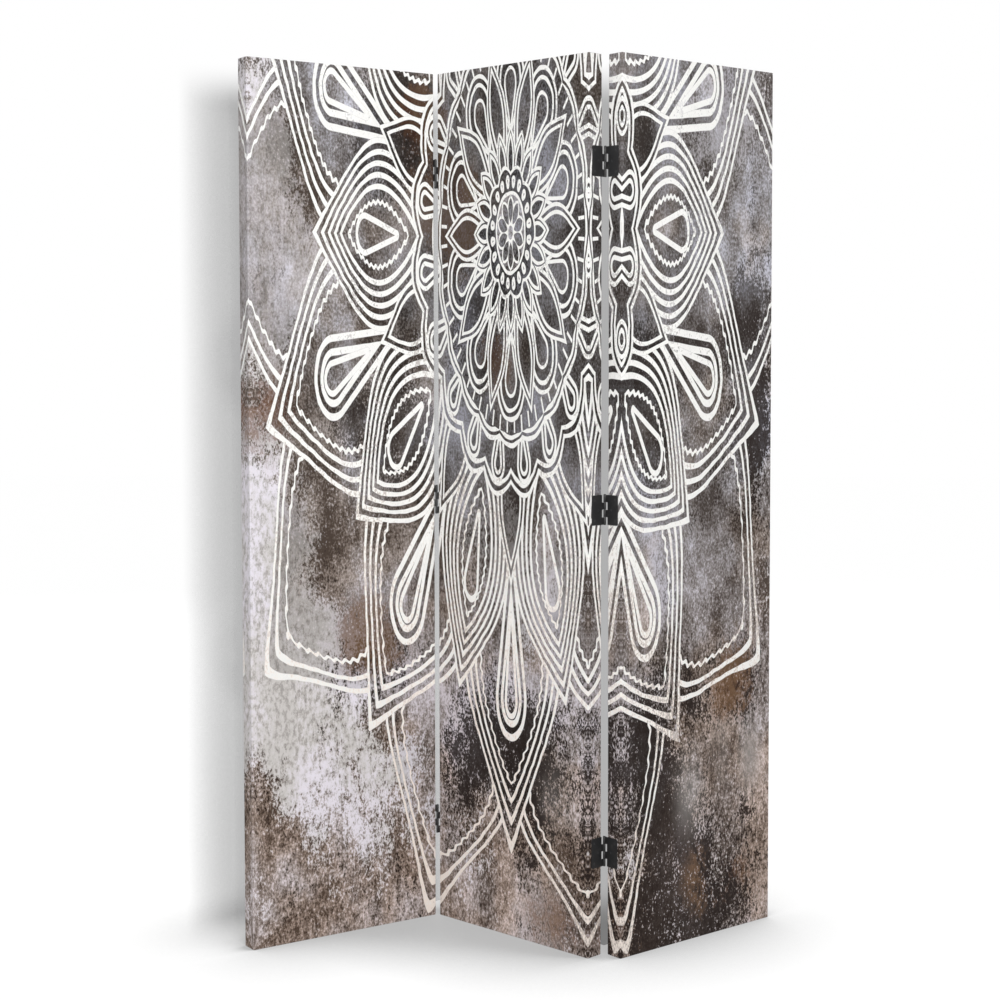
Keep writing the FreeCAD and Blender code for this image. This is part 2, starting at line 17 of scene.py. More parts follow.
import bpy
import numpy as np
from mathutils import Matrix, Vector


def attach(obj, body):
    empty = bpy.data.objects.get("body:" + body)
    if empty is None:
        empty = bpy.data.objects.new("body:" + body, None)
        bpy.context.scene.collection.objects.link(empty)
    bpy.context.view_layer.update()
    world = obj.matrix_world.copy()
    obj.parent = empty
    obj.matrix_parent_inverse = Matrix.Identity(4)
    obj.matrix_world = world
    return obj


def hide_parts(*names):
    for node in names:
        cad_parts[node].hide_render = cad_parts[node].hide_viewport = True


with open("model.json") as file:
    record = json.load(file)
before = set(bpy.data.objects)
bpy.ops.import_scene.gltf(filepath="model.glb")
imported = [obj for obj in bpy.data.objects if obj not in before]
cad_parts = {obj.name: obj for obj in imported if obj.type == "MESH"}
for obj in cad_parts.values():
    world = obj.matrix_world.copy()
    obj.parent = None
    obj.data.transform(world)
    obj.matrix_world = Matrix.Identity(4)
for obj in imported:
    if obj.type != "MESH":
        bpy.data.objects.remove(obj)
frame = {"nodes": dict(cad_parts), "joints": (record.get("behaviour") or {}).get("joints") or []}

LOG = logging.getLogger("folding_screen")
MM = 0.001


class Side(Enum):
    """The two upright edges of a panel, by the sign of their X."""

    LEFT = -1
    RIGHT = 1


class End(Enum):
    """The two level edges of a panel."""

    BOTTOM = "bottom"
    TOP = "top"


class Grain(Enum):
    """Which way a bar's grain runs: the turn about Y that stands it upright."""

    UPRIGHT = 0.0
    ACROSS = math.pi / 2


class Fold(Enum):
    """The two folds: the valley closes the printed fronts, the ridge closes the backs."""

    VALLEY = "valley"
    RIDGE = "ridge"


class Level(Enum):
    """A fold's three hinges, by how many even steps up it each one is."""

    LOWER = 0
    MIDDLE = 1
    UPPER = 2


# Wiring shader nodes


class Wire:
    """One value in a node tree. Arithmetic on it adds Math nodes to that tree."""

    def __init__(self, bench: "Bench", socket: bpy.types.NodeSocket) -> None:
        """Remember the bench that the value is on and the socket that gives it."""
        self.bench = bench
        self.socket = socket

    def __add__(self, other: "Feed") -> "Wire":
        """Sum."""
        return self.bench.maths("ADD", self, other)

    def __radd__(self, other: float) -> "Wire":
        """Sum with a number on the left."""
        return self.bench.maths("ADD", other, self)

    def __sub__(self, other: "Feed") -> "Wire":
        """Difference."""
        return self.bench.maths("SUBTRACT", self, other)

    def __rsub__(self, other: float) -> "Wire":
        """Difference from a number."""
        return self.bench.maths("SUBTRACT", other, self)

    def __mul__(self, other: "Feed") -> "Wire":
        """Product."""
        return self.bench.maths("MULTIPLY", self, other)

    def __rmul__(self, other: float) -> "Wire":
        """Product with a number on the left."""
        return self.bench.maths("MULTIPLY", other, self)

    def __truediv__(self, other: "Feed") -> "Wire":
        """Quotient."""
        return self.bench.maths("DIVIDE", self, other)

    def __neg__(self) -> "Wire":
        """Opposite."""
        return self.bench.maths("MULTIPLY", self, -1.0)

    def __abs__(self) -> "Wire":
        """Size without sign."""
        return self.bench.maths("ABSOLUTE", self)


Feed = Union[Wire, float]
Colour = tuple[float, float, float, float]

# The Mix node's sockets for colours by number, since its other kinds share their names.
MIX_SHARE, MIX_LOW, MIX_HIGH, MIX_RESULT = 0, 6, 7, 2


class Bench:
    """A node tree under construction."""

    def __init__(self, tree: bpy.types.NodeTree) -> None:
        """Work on a tree."""
        self.tree = tree

    def put(self, kind: str, feeds: dict | None = None, **settings: object) -> bpy.types.Node:
        """Add a node.

        Args:
            kind: The node's type, without its ShaderNode prefix.
            feeds: What each input socket gets, by name or number.
            settings: The node's own settings.

        Returns:
            The new node.
        """
        node = self.tree.nodes.new("ShaderNode" + kind)
        for name, value in settings.items():
            setattr(node, name, value)
        for key, value in (feeds or {}).items():
            self.feed(node.inputs[key], value)
        return node

    def feed(self, socket: bpy.types.NodeSocket, value: object) -> None:
        """Join a wire to a socket, or set the socket to a plain value.

        Args:
            socket: A node's input.
            value: A wire, or the input's own value.
        """
        if isinstance(value, Wire):
            self.tree.links.new(value.socket, socket)
        else:
            socket.default_value = value

    def out(self, node: bpy.types.Node, key: int | str = 0) -> Wire:
        """The wire from one of a node's outputs."""
        return Wire(self, node.outputs[key])

    def get(self, kind: str, feeds: dict | None = None, key: int | str = 0,
            **settings: object) -> Wire:
        """Add a node and take the wire from one of its outputs."""
        return self.out(self.put(kind, feeds, **settings), key)

    def maths(self, operation: str, *values: Feed) -> Wire:
        """One Math node's result."""
        return self.get("Math", dict(enumerate(values)), operation=operation)

    def vector(self, across: Feed, along: Feed, rise: Feed = 0.0) -> Wire:
        """Join three values into a vector."""
        return self.get("CombineXYZ", {"X": across, "Y": along, "Z": rise})

    def scaled(self, vector: Wire, by: tuple[float, float], shift: tuple[float, float]) -> Wire:
        """A flat vector times a scale of its own each way, plus a shift."""
        return self.get("VectorMath", {0: vector, 1: (*by, 0.0), 2: (*shift, 0.0)},
                        operation="MULTIPLY_ADD")

    def size(self, vector: Wire) -> Wire:
        """The length of a vector: the root of the sum of its squares."""
        return self.get("VectorMath", {0: vector}, "Value", operation="LENGTH")

    def parts(self, vector: Wire) -> tuple[Wire, Wire, Wire]:
        """The X, Y and Z of a vector."""
        node = self.put("SeparateXYZ", {0: vector})
        return self.out(node, 0), self.out(node, 1), self.out(node, 2)

    def step(self, value: Feed, low: Feed, high: Feed, top: Feed = 1.0) -> Wire:
        """A smooth step from 0 at low to top at high, which may lie below low."""
        return self.get("MapRange", {"Value": value, "From Min": low, "From Max": high,
                                     "To Max": top}, interpolation_type="SMOOTHSTEP")

    def noise(self, vector: Wire, scale: float, detail: float = 4.0, rough: float = 0.5,
              flat: bool = True) -> Wire:
        """Fractal noise from 0 to 1, over a flat or a solid vector."""
        return self.get("TexNoise", {"Vector": vector, "Scale": scale, "Detail": detail,
                                     "Roughness": rough}, noise_dimensions="2D" if flat else "3D")

    def grey(self, value: Feed) -> Wire:
        """A value as a grey colour."""
        return self.get("CombineColor", {0: value, 1: value, 2: value})

    def mix(self, share: Feed, low: object, high: object, blend: str = "MIX") -> Wire:
        """Mix two colours: a share of high over low, or another of the Mix node's blends."""
        return self.get("Mix", {MIX_SHARE: share, MIX_LOW: low, MIX_HIGH: high}, MIX_RESULT,
                        data_type="RGBA", blend_type=blend)

    def ramp(self, value: Feed, stops: dict[float, Colour]) -> Wire:
        """Run a value through a colour ramp.

        Args:
            value: The place on the ramp, from 0 to 1.
            stops: Each stop's place and colour.

        Returns:
            The colour at the value's place.
        """
        node = self.put("ValToRGB", {0: value})
        first, last = node.color_ramp.elements
        places = sorted(stops)
        first.position, first.color = places[0], stops[places[0]]
        last.position, last.color = places[-1], stops[places[-1]]
        for place in places[1:-1]:
            node.color_ramp.elements.new(place).color = stops[place]
        return self.out(node)

    def use(self, group: bpy.types.NodeTree, **feeds: object) -> Callable[[str], Wire]:
        """Place a group here.

        Args:
            group: The shared group.
            feeds: Its inputs, by name with underscores for spaces.

        Returns:
            A function from an output's name to its wire.
        """
        node = self.put("Group", node_tree=group)
        for name, value in feeds.items():
            self.feed(node.inputs[name.replace("_", " ")], value)
        return lambda name: self.out(node, name)


class GroupBench(Bench):
    """A shared node group under construction, with named inputs and outputs."""

    def __init__(self, name: str, inputs: dict[str, object], outputs: dict[str, str]) -> None:
        """Make an empty group.

        Args:
            name: The group's name.
            inputs: Each input's name and its default; None stands for a vector.
            outputs: Each output's name and its kind, Float, Color or Vector.
        """
        super().__init__(bpy.data.node_groups.new(name, "ShaderNodeTree"))
        face = self.tree.interface
        for label, default in inputs.items():
            kind = "Vector" if default is None else "Float"
            socket = face.new_socket(label, in_out="INPUT", socket_type="NodeSocket" + kind)
            if default is not None:
                socket.default_value = default
        for label, kind in outputs.items():
            face.new_socket(label, in_out="OUTPUT", socket_type="NodeSocket" + kind)
        self.entry = self.tree.nodes.new("NodeGroupInput")
        self.exit = self.tree.nodes.new("NodeGroupOutput")

    def given(self, name: str) -> Wire:
        """The wire from one of the group's inputs."""
        return self.out(self.entry, name)

    def give(self, **wires: Wire) -> bpy.types.NodeTree:
        """Join the group's outputs.

        Args:
            wires: What each output gets, by name.

        Returns:
            The finished group.
        """
        for name, wire in wires.items():
            self.feed(self.exit.inputs[name], wire)
        return self.tree


def emptied(owner: bpy.types.Material | bpy.types.World) -> bpy.types.NodeTree:
    """Give a material or a world a node tree with nothing in it.

    Args:
        owner: The material or the world.

    Returns:
        Its tree.
    """
    owner.use_nodes = True
    owner.node_tree.nodes.clear()
    return owner.node_tree


class Surface(Bench):
    """A material under construction."""

    def __init__(self, name: str) -> None:
        """Make an empty material of that name."""
        self.material = bpy.data.materials.new(name)
        super().__init__(emptied(self.material))

    def place(self) -> Wire:
        """Where a point lies in the scene's own frame."""
        return self.get("TexCoord", key="Object")

    def print_place(self) -> Wire:
        """Where a point lies on the flat print."""
        return self.get("UVMap", uv_map="Print")

    def show(self, shader: Wire) -> bpy.types.Material:
        """Join a shader to the material's output, and return the finished material."""
        self.put("OutputMaterial", {"Surface": shader})
        return self.material

    def coat(self, colour: Wire, rough: Wire, height: Wire, depth: float,
             **plain: float) -> bpy.types.Material:
        """Finish the material with a Principled shader.

        Args:
            colour: Its base colour.
            rough: Its roughness.
            height: The height of its relief, from 0 to 1.
            depth: How deep that relief is, in metres.
            plain: Its inputs that are the same all over, by name with underscores for spaces.

        Returns:
            The finished material.
        """
        relief = self.get("Bump", {"Height": height, "Distance": depth, "Strength": 1.0})
        feeds = {"Base Color": colour, "Roughness": rough, "Normal": relief}
        for name, value in plain.items():
            feeds[name.replace("_", " ")] = value
        return self.show(self.get("BsdfPrincipled", feeds))


def srgb(red: int, green: int, blue: int) -> Colour:
    """A screen colour as the linear colour that nodes hold, by the standard sRGB curve.

    Args:
        red: Its red, from 0 to 255.
        green: Its green.
        blue: Its blue.

    Returns:
        The linear colour, opaque.
    """
    shares = np.array([red, green, blue]) / 255
    linear = np.where(shares <= 0.04045, shares / 12.92, ((shares + 0.055) / 1.055) ** 2.4)
    return (*linear.tolist(), 1.0)


def swing(noise: Wire, amount: Feed) -> Wire:
    """A noise as a swing to either side of nothing, as wide in all as its amount."""
    return (noise - 0.5) * amount


# The drawn ornament: rings of petals, drops, scallops and rays

SOFT = 0.5 * MM  # how softly a printed line ends
WAVY_LINE_SHARE = 0.35  # how wide a wavy line is beside the ring's other lines
SWEEP_AT_MIDDLE = 0.2  # how far along its rise a petal's sweep is at the petal's middle
SWEEP_EVENING = 0.6  # how much of the sweep is taken out of the space between lines
WOBBLE = 3 * MM  # how far a hand-drawn line strays in all
WOBBLES = 38.0  # how often it strays to the metre

RING_INPUTS = {"Radius": 0.0, "Angle": 0.0, "Half step": 0.3, "Turn": 0.0, "Base": 0.1,
               "Tip": 0.2, "Line": 0.004, "Gap": 0.01, "Lines": 1.0}
RING_OUTPUTS = {"Ink": "Float", "Inside": "Float"}


def nearest_angle(bench: GroupBench) -> Wire:
    """The angle to a ring's nearest petal.

    It runs to and fro between a petal's axis and half the way to its neighbour, so one
    petal's drawing serves for all of them.

    Args:
        bench: The ring's group.

    Returns:
        The angle, from 0 to half a step.
    """
    turned = bench.given("Angle") + bench.given("Turn")
    return bench.maths("PINGPONG", turned, bench.given("Half step"))


def petal_axes(bench: GroupBench) -> tuple[Wire, Wire]:
    """How far a point lies along and beside the axis of the nearest petal.

    Args:
        bench: The ring's group.

    Returns:
        The way along the axis, and the way beside it.
    """
    angle = nearest_angle(bench)
    radius = bench.given("Radius")
    return radius * bench.maths("COSINE", angle), radius * bench.maths("SINE", angle)


def nested_lines(bench: GroupBench, edge: Wire) -> dict[str, Wire]:
    """Ink a shape's outline and the lines at even depths inside it.

    Args:
        bench: The group, which has the inputs Line, Gap and Lines.
        edge: The distance from the shape's edge, negative inside.

    Returns:
        Ink, the lines' mask, and Inside, the shape's own.
    """
    half = bench.given("Line") * 0.5
    gap = bench.given("Gap")
    order = bench.maths("MAXIMUM", bench.maths("ROUND", -edge / gap), 0.0)
    order = bench.maths("MINIMUM", order, bench.given("Lines") - 1.0)
    away = abs(edge + order * gap)
    return {"Ink": bench.step(away, half + SOFT, half), "Inside": bench.step(edge, half + SOFT, half)}


@cache
def petal_ring() -> bpy.types.NodeTree:
    """Pointed petals: each is where two equal circles overlap.

    The edge lies where the distance to the circle centre on the axis' other side equals the
    circles' radius. Lean moves the widest place outwards. Sweep draws the outer end in to a
    hollow-sided point: the distance beside the axis grows with the cube of the way out. A
    wavy line follows the edge at its own depth.

    Returns:
        The shared group.
    """
    bench = GroupBench("petal_ring", {**RING_INPUTS, "Half width": 0.05, "Lean": 0.0,
                                      "Sweep": 0.0, "Wave depth": 1.0, "Wave": 0.0,
                                      "Pitch": 0.02}, RING_OUTPUTS)
    along, beside = petal_axes(bench)
    base, tip, width = bench.given("Base"), bench.given("Tip"), bench.given("Half width")
    half = (tip - base) * 0.5
    share = (along - (tip + base) * 0.5) / half
    outer = bench.maths("MAXIMUM", share * (1.0 - SWEEP_AT_MIDDLE) + SWEEP_AT_MIDDLE, 0.0)
    swept = outer * outer * outer * bench.given("Sweep") + 1.0
    run = (share - bench.given("Lean") * (1.0 - share * share)) * half
    circle = (half * half + width * width) / (width * 2.0)
    edge = bench.size(bench.vector(run, beside * swept + circle - width)) - circle
    edge = edge / (swept * SWEEP_EVENING + (1.0 - SWEEP_EVENING))
    drawn = nested_lines(bench, edge)
    line = bench.given("Line") * WAVY_LINE_SHARE
    wave = bench.maths("SINE", run / bench.given("Pitch") * (2 * math.pi)) * bench.given("Wave")
    wavy = bench.step(abs(edge + bench.given("Wave depth") + wave), line + SOFT, line)
    return bench.give(Ink=bench.maths("MAXIMUM", drawn["Ink"], wavy), Inside=drawn["Inside"])


@cache
def drop_ring() -> bpy.types.NodeTree:
    """Drops: two circles of unlike size on the axis and the tangents that join them.

    Returns:
        The shared group.
    """
    bench = GroupBench("drop_ring", {**RING_INPUTS, "Small": 0.0, "Big": 0.01}, RING_OUTPUTS)
    along, beside = petal_axes(bench)
    rise = along - bench.given("Base")
    reach = bench.given("Tip") - bench.given("Base")
    small, big = bench.given("Small"), bench.given("Big")
    slope = (small - big) / reach
    upright = bench.maths("SQRT", 1.0 - slope * slope)
    level = rise * upright - beside * slope
    below = bench.maths("LESS_THAN", level, 0.0)
    above = bench.maths("GREATER_THAN", level, upright * reach)
    side = beside * upright + rise * slope - small
    edge = (below * (bench.size(bench.vector(beside, rise)) - small)
            + above * (bench.size(bench.vector(beside, rise - reach)) - big)
            + (1.0 - below - above) * side)
    return bench.give(**nested_lines(bench, edge))


@cache
def hoop() -> bpy.types.NodeTree:
    """A ring line whose radius swells in even scallops, and all that it encloses.

    Returns:
        The shared group.
    """
    bench = GroupBench("hoop", {**RING_INPUTS, "Scallop": 0.0}, RING_OUTPUTS)
    turn = nearest_angle(bench) / bench.given("Half step") * (math.pi / 2)
    swell = bench.maths("COSINE", turn)
    edge = bench.given("Radius") - bench.given("Tip") - bench.given("Scallop") * swell
    return bench.give(**nested_lines(bench, edge))


@cache
def ray_ring() -> bpy.types.NodeTree:
    """Straight rays from one radius to another, on a band of their own tone.

    Returns:
        The shared group.
    """
    bench = GroupBench("ray_ring", RING_INPUTS, RING_OUTPUTS)
    _, beside = petal_axes(bench)
    radius, half = bench.given("Radius"), bench.given("Line") * 0.5
    band = (bench.step(radius, bench.given("Base") - SOFT, bench.given("Base"))
            * bench.step(radius, bench.given("Tip") + SOFT, bench.given("Tip")))
    return bench.give(Ink=bench.step(beside, half + SOFT, half) * band, Inside=band)


@dataclass(frozen=True)
class Ring:
    """One ring of the ornament, in the flat print's metres.

    Attributes:
        shape: The function that makes the ring's shared group.
        count: How many petals it has.
        base: Where a petal begins, from the centre.
        tip: Where it ends.
        tone: How bright the ground inside it is.
        turned: Whether it is turned by half a step.
        line: The width of its lines.
        gap: The space from line to line.
        lines: How many nested lines it has.
        more: The inputs that only its own shape has.
    """

    shape: Callable[[], bpy.types.NodeTree]
    count: int
    base: float
    tip: float
    tone: float
    turned: bool = False
    line: float = 0.004
    gap: float = 0.01
    lines: int = 1
    more: dict[str, float] = field(default_factory=dict)

    def lay(self, bench: Bench, radius: Wire, angle: Wire, ink: Wire,
            tone: Wire) -> tuple[Wire, Wire]:
        """Draw this ring over what lies under it.

        Args:
            bench: Where to draw.
            radius: The distance from the ornament's centre.
            angle: The angle about it.
            ink: The lines drawn so far.
            tone: The ground's brightness so far.

        Returns:
            The lines and the brightness with this ring on top.
        """
        half_step = math.pi / self.count
        drawn = bench.use(
            self.shape(), Radius=radius, Angle=angle, Half_step=half_step,
            Turn=half_step if self.turned else 0.0, Base=self.base, Tip=self.tip,
            Line=self.line, Gap=self.gap, Lines=float(self.lines), **self.more)
        inside = drawn("Inside")
        ink = bench.maths("MAXIMUM", ink * (1.0 - inside), drawn("Ink"))
        return ink, tone + inside * (self.tone - tone)


# From the outside in: each ring lies over the ones before it. Each is given by its shape,
# count, base, tip and tone, then whether it is turned, its line, gap and number of lines.
RINGS = (
    Ring(petal_ring, 10, 0.290, 0.630, 0.84, True, 0.0054, 0.0150, 2,
         {"Half_width": 0.150, "Lean": 0.20, "Sweep": 3.0, "Wave_depth": 0.036, "Wave": 0.0018,
          "Pitch": 0.014}),
    Ring(petal_ring, 10, 0.190, 0.530, 0.74, False, 0.0052, 0.0140, 3,
         {"Half_width": 0.120, "Lean": 0.18, "Sweep": 2.4, "Wave_depth": 0.041, "Wave": 0.0016,
          "Pitch": 0.012}),
    Ring(drop_ring, 10, 0.270, 0.400, 0.52, False, 0.0058, 0.0120, 2,
         {"Small": 0.002, "Big": 0.034}),
    Ring(drop_ring, 10, 0.330, 0.402, 0.91, False, 0.0050, 0.0100, 1,
         {"Small": 0.002, "Big": 0.013}),
    Ring(petal_ring, 10, 0.150, 0.415, 0.58, True, 0.0044, 0.0100, 5,
         {"Half_width": 0.084, "Lean": 0.16, "Sweep": 1.6, "Wave_depth": 0.0535, "Wave": 0.0012,
          "Pitch": 0.009}),
    Ring(drop_ring, 10, 0.255, 0.318, 0.77, True, 0.0048, 0.0100, 1,
         {"Small": 0.002, "Big": 0.016}),
    Ring(petal_ring, 10, 0.150, 0.300, 0.44, False, 0.0036, 0.0085, 2,
         {"Half_width": 0.032, "Lean": 0.16, "Sweep": 1.6}),
    Ring(hoop, 20, 0.0, 0.212, 0.44, True, 0.0040, 0.0090, 2, {"Scallop": 0.014}),
    Ring(drop_ring, 20, 0.180, 0.200, 0.35, True, 0.0036, 0.0070, 2,
         {"Small": 0.009, "Big": 0.0145}),
    Ring(hoop, 20, 0.0, 0.176, 0.40, False, 0.0036, 0.0070, 2, {"Scallop": 0.006}),
    Ring(ray_ring, 60, 0.157, 0.1705, 0.38, True, 0.0026),
    Ring(drop_ring, 10, 0.075, 0.128, 0.26, False, 0.0034, 0.0080, 2,
         {"Small": 0.004, "Big": 0.032}),
    Ring(drop_ring, 10, 0.092, 0.126, 0.46, False, 0.0028, 0.0080, 1,
         {"Small": 0.002, "Big": 0.013}),
    Ring(petal_ring, 10, 0.045, 0.158, 0.40, True, 0.0030, 0.0066, 2,
         {"Half_width": 0.022, "Lean": 0.18, "Sweep": 1.2}),
    Ring(petal_ring, 20, 0.030, 0.088, 0.28, False, 0.0028, 0.0048, 2,
         {"Half_width": 0.0115, "Lean": 0.16, "Sweep": 0.3}),
    Ring(hoop, 10, 0.0, 0.050, 0.22, True, 0.0030, 0.0050, 1, {"Scallop": 0.007}),
    Ring(drop_ring, 20, 0.0415, 0.0445, 0.68, True, 0.0030, 0.0050, 1,
         {"Small": 0.0018, "Big": 0.0026}),
    Ring(hoop, 10, 0.0, 0.034, 0.86, False, 0.0028, 0.0048, 1, {"Scallop": 0.0}),
    Ring(petal_ring, 10, 0.006, 0.031, 0.43, False, 0.0020, 0.0034, 1,
         {"Half_width": 0.0068, "Lean": 0.14}),
    Ring(hoop, 10, 0.0, 0.007, 1.00, False, 0.0022, 0.0050, 1, {"Scallop": 0.0}),
)


@cache
def ornament() -> bpy.types.NodeTree:
    """The whole drawing, drawn out upright: all the rings about one centre.

    The height is divided by Tall before the angle and the distance from the centre are
    taken, so circles come out as upright ovals. A little noise keeps the hand-drawn wobble.

    Returns:
        The shared group.
    """
    bench = GroupBench("ornament", {"Vector": None, "Centre X": 0.54, "Centre Y": 1.215,
                                    "Tall": 2.0}, {"Ink": "Float", "Tone": "Float"})
    across, along, _ = bench.parts(bench.given("Vector"))
    across = across - bench.given("Centre X")
    along = (along - bench.given("Centre Y")) / bench.given("Tall")
    wobble = swing(bench.noise(bench.given("Vector"), WOBBLES, 1.0), WOBBLE)
    radius = bench.size(bench.vector(across, along)) + wobble
    angle = bench.maths("ARCTAN2", across, -along)
    ink, tone = radius * 0.0, radius * 0.0 + 1.0
    for ring in RINGS:
        ink, tone = ring.lay(bench, radius, angle, ink, tone)
    return bench.give(Ink=ink, Tone=tone)


# Shared surface effects


@dataclass(frozen=True)
class Patch:
    """A soft upright oval on the print where one of the ground's layers lies thicker."""

    across: float
    along: float
    half_width: float
    half_height: float
    weight: float

    def mask(self, bench: Bench, place: Wire) -> Wire:
        """The oval's strength.

        Args:
            bench: Where to work it out.
            place: A place on the print.

        Returns:
            The oval's weight in its middle, and nothing past its edge.
        """
        local = bench.scaled(place, (1 / self.half_width, 1 / self.half_height),
                             (-self.across / self.half_width, -self.along / self.half_height))
        return bench.step(bench.size(local), 1.0, 0.0, self.weight)


def thickness(bench: Bench, place: Wire, patches: tuple[Patch, ...]) -> Wire:
    """How thick a layer lies: the sum of its patches.

    Args:
        bench: Where to work it out.
        place: A place on the print.
        patches: The layer's patches.

    Returns:
        The layer's thickness.
    """
    total = patches[0].mask(bench, place)
    for patch in patches[1:]:
        total = total + patch.mask(bench, place)
    return total


# Each patch by its place across and along the print, its half width, half height and weight.
PALE_PATCHES = (
    Patch(0.02, 0.60, 0.16, 0.50, 0.60), Patch(0.15, 0.36, 0.19, 0.38, 0.42),
    Patch(0.30, 0.20, 0.14, 0.20, 0.22), Patch(0.02, 1.26, 0.12, 0.40, 0.54),
    Patch(0.08, 1.12, 0.14, 0.24, 0.32), Patch(0.57, 0.63, 0.24, 0.20, 0.46),
    Patch(0.42, 0.14, 0.09, 0.20, 0.24), Patch(0.73, 0.17, 0.05, 0.10, 0.20),
    Patch(0.70, 0.42, 0.05, 0.12, 0.12), Patch(0.96, 1.40, 0.22, 0.20, 0.36),
)
DARK_PATCHES = (
    Patch(0.29, 1.40, 0.15, 0.20, 0.48), Patch(0.27, 0.88, 0.15, 0.18, 0.42),
    Patch(0.24, 0.48, 0.14, 0.13, 0.22), Patch(0.22, 0.06, 0.16, 0.12, 0.14),
    Patch(0.54, 0.30, 0.26, 0.24, 0.38), Patch(0.86, 0.06, 0.28, 0.30, 0.46),
    Patch(0.80, 0.36, 0.16, 0.26, 0.34), Patch(1.00, 0.46, 0.14, 0.16, 0.22),
    Patch(0.78, 0.90, 0.13, 0.20, 0.36), Patch(0.64, 1.42, 0.12, 0.12, 0.20),
    Patch(1.03, 0.96, 0.13, 0.38, 0.42), Patch(0.48, 1.10, 0.15, 0.17, 0.36),
    Patch(0.44, 0.38, 0.08, 0.12, 0.16), Patch(0.76, 1.02, 0.08, 0.12, 0.30),
    Patch(0.28, 1.00, 0.07, 0.10, 0.26), Patch(0.55, 1.32, 0.08, 0.08, 0.26),
)
RUST_PATCHES = (
    Patch(0.05, 0.92, 0.13, 0.14, 0.34), Patch(0.34, 1.34, 0.14, 0.18, 0.22),
    Patch(0.22, 0.52, 0.14, 0.12, 0.26), Patch(0.68, 0.05, 0.16, 0.12, 0.24),
    Patch(0.98, 0.44, 0.16, 0.14, 0.22), Patch(0.40, 1.22, 0.10, 0.14, 0.24),
    Patch(0.98, 0.10, 0.16, 0.14, 0.22), Patch(0.42, 1.28, 0.09, 0.10, 0.40),
    Patch(0.50, 1.00, 0.08, 0.10, 0.36), Patch(0.32, 1.44, 0.08, 0.09, 0.34),
)
CLOUD_PATCHES = (
    Patch(0.88, 0.26, 0.055, 0.11, 0.7), Patch(0.955, 0.31, 0.04, 0.09, 0.6),
    Patch(1.03, 0.30, 0.045, 0.10, 0.8), Patch(0.64, 0.26, 0.06, 0.10, 0.35),
)


@dataclass(frozen=True)
class Mottle:
    """A fractal noise over the print.

    Attributes:
        across: How many marks it has to the metre across.
        along: How many it has to the metre upwards.
        detail: How many finer layers it has.
        rough: How strong each of them is beside the one before.
        shift: A start of its own, which sets it apart from noises like it.
    """

    across: float
    along: float
    detail: float
    rough: float
    shift: tuple[float, float] = (0.0, 0.0)

    def lay(self, bench: Bench, place: Wire) -> Wire:
        """The noise at a place on the print, from 0 to 1."""
        stretched = bench.scaled(place, (self.across, self.along), self.shift)
        return bench.noise(stretched, 1.0, self.detail, self.rough)


@dataclass(frozen=True)
class Layer:
    """One torn layer of the ground: where it begins to show, where it is whole, how it covers."""

    begins: float
    whole: float
    cover: float = 1.0

    def show(self, bench: Bench, thick: Wire) -> Wire:
        """How much of the layer shows where it is so thick."""
        return bench.step(thick, self.begins, self.whole, self.cover)


CLOUDS = Mottle(6.0, 3.6, 7.0, 0.66)
BLOTS = Mottle(15.0, 8.25, 4.0, 0.60, (0.0, 30.0))
TINTS = Mottle(5.5, 3.85, 5.0, 0.60)
TORN = Mottle(11.0, 6.0, 9.0, 0.74, (5.0, 0.0))
GRAIN = Mottle(115.0, 62.0, 5.0, 0.78)
GRIT = Mottle(290.0, 190.0, 2.0, 0.55)

GRIME = Layer(0.62, 0.78, 0.93)
CLOUD = Layer(0.25, 0.60)
WASH = Layer(0.66, 0.82)
RUST = Layer(0.60, 0.80, 0.80)
FLECKS = Layer(0.71, 0.79, 0.62)
RUBBED = Layer(0.66, 0.80)


@dataclass(frozen=True)
class PlasterColours:
    """The colours of the print's ground.

    Attributes:
        mottle: The bare plaster, from its darkest to its palest.
        warm: The warmer tint high on the print, and low on it.
        cold: The colder tint high on the print, and low on it.
        grime: The dark layer.
        cloud: The soft clouds on it.
        wash: The limewash at its dullest and at its brightest.
        stain: The rust at its deepest and at its palest.
        fleck: The fine flecks on top.
    """

    mottle: tuple[Colour, ...] = (srgb(78, 68, 62), srgb(125, 116, 111), srgb(162, 155, 152),
                                  srgb(196, 190, 192), srgb(230, 225, 232))
    warm: tuple[Colour, Colour] = (srgb(255, 251, 246), srgb(255, 238, 224))
    cold: tuple[Colour, Colour] = (srgb(243, 248, 255), srgb(252, 246, 244))
    grime: Colour = srgb(34, 25, 22)
    cloud: Colour = srgb(148, 143, 140)
    wash: tuple[Colour, Colour] = (srgb(208, 204, 201), srgb(234, 229, 238))
    stain: tuple[Colour, Colour] = (srgb(88, 47, 29), srgb(118, 90, 66))
    fleck: Colour = srgb(220, 213, 216)


MOTTLE_STOPS = (0.00, 0.28, 0.52, 0.76, 1.00)


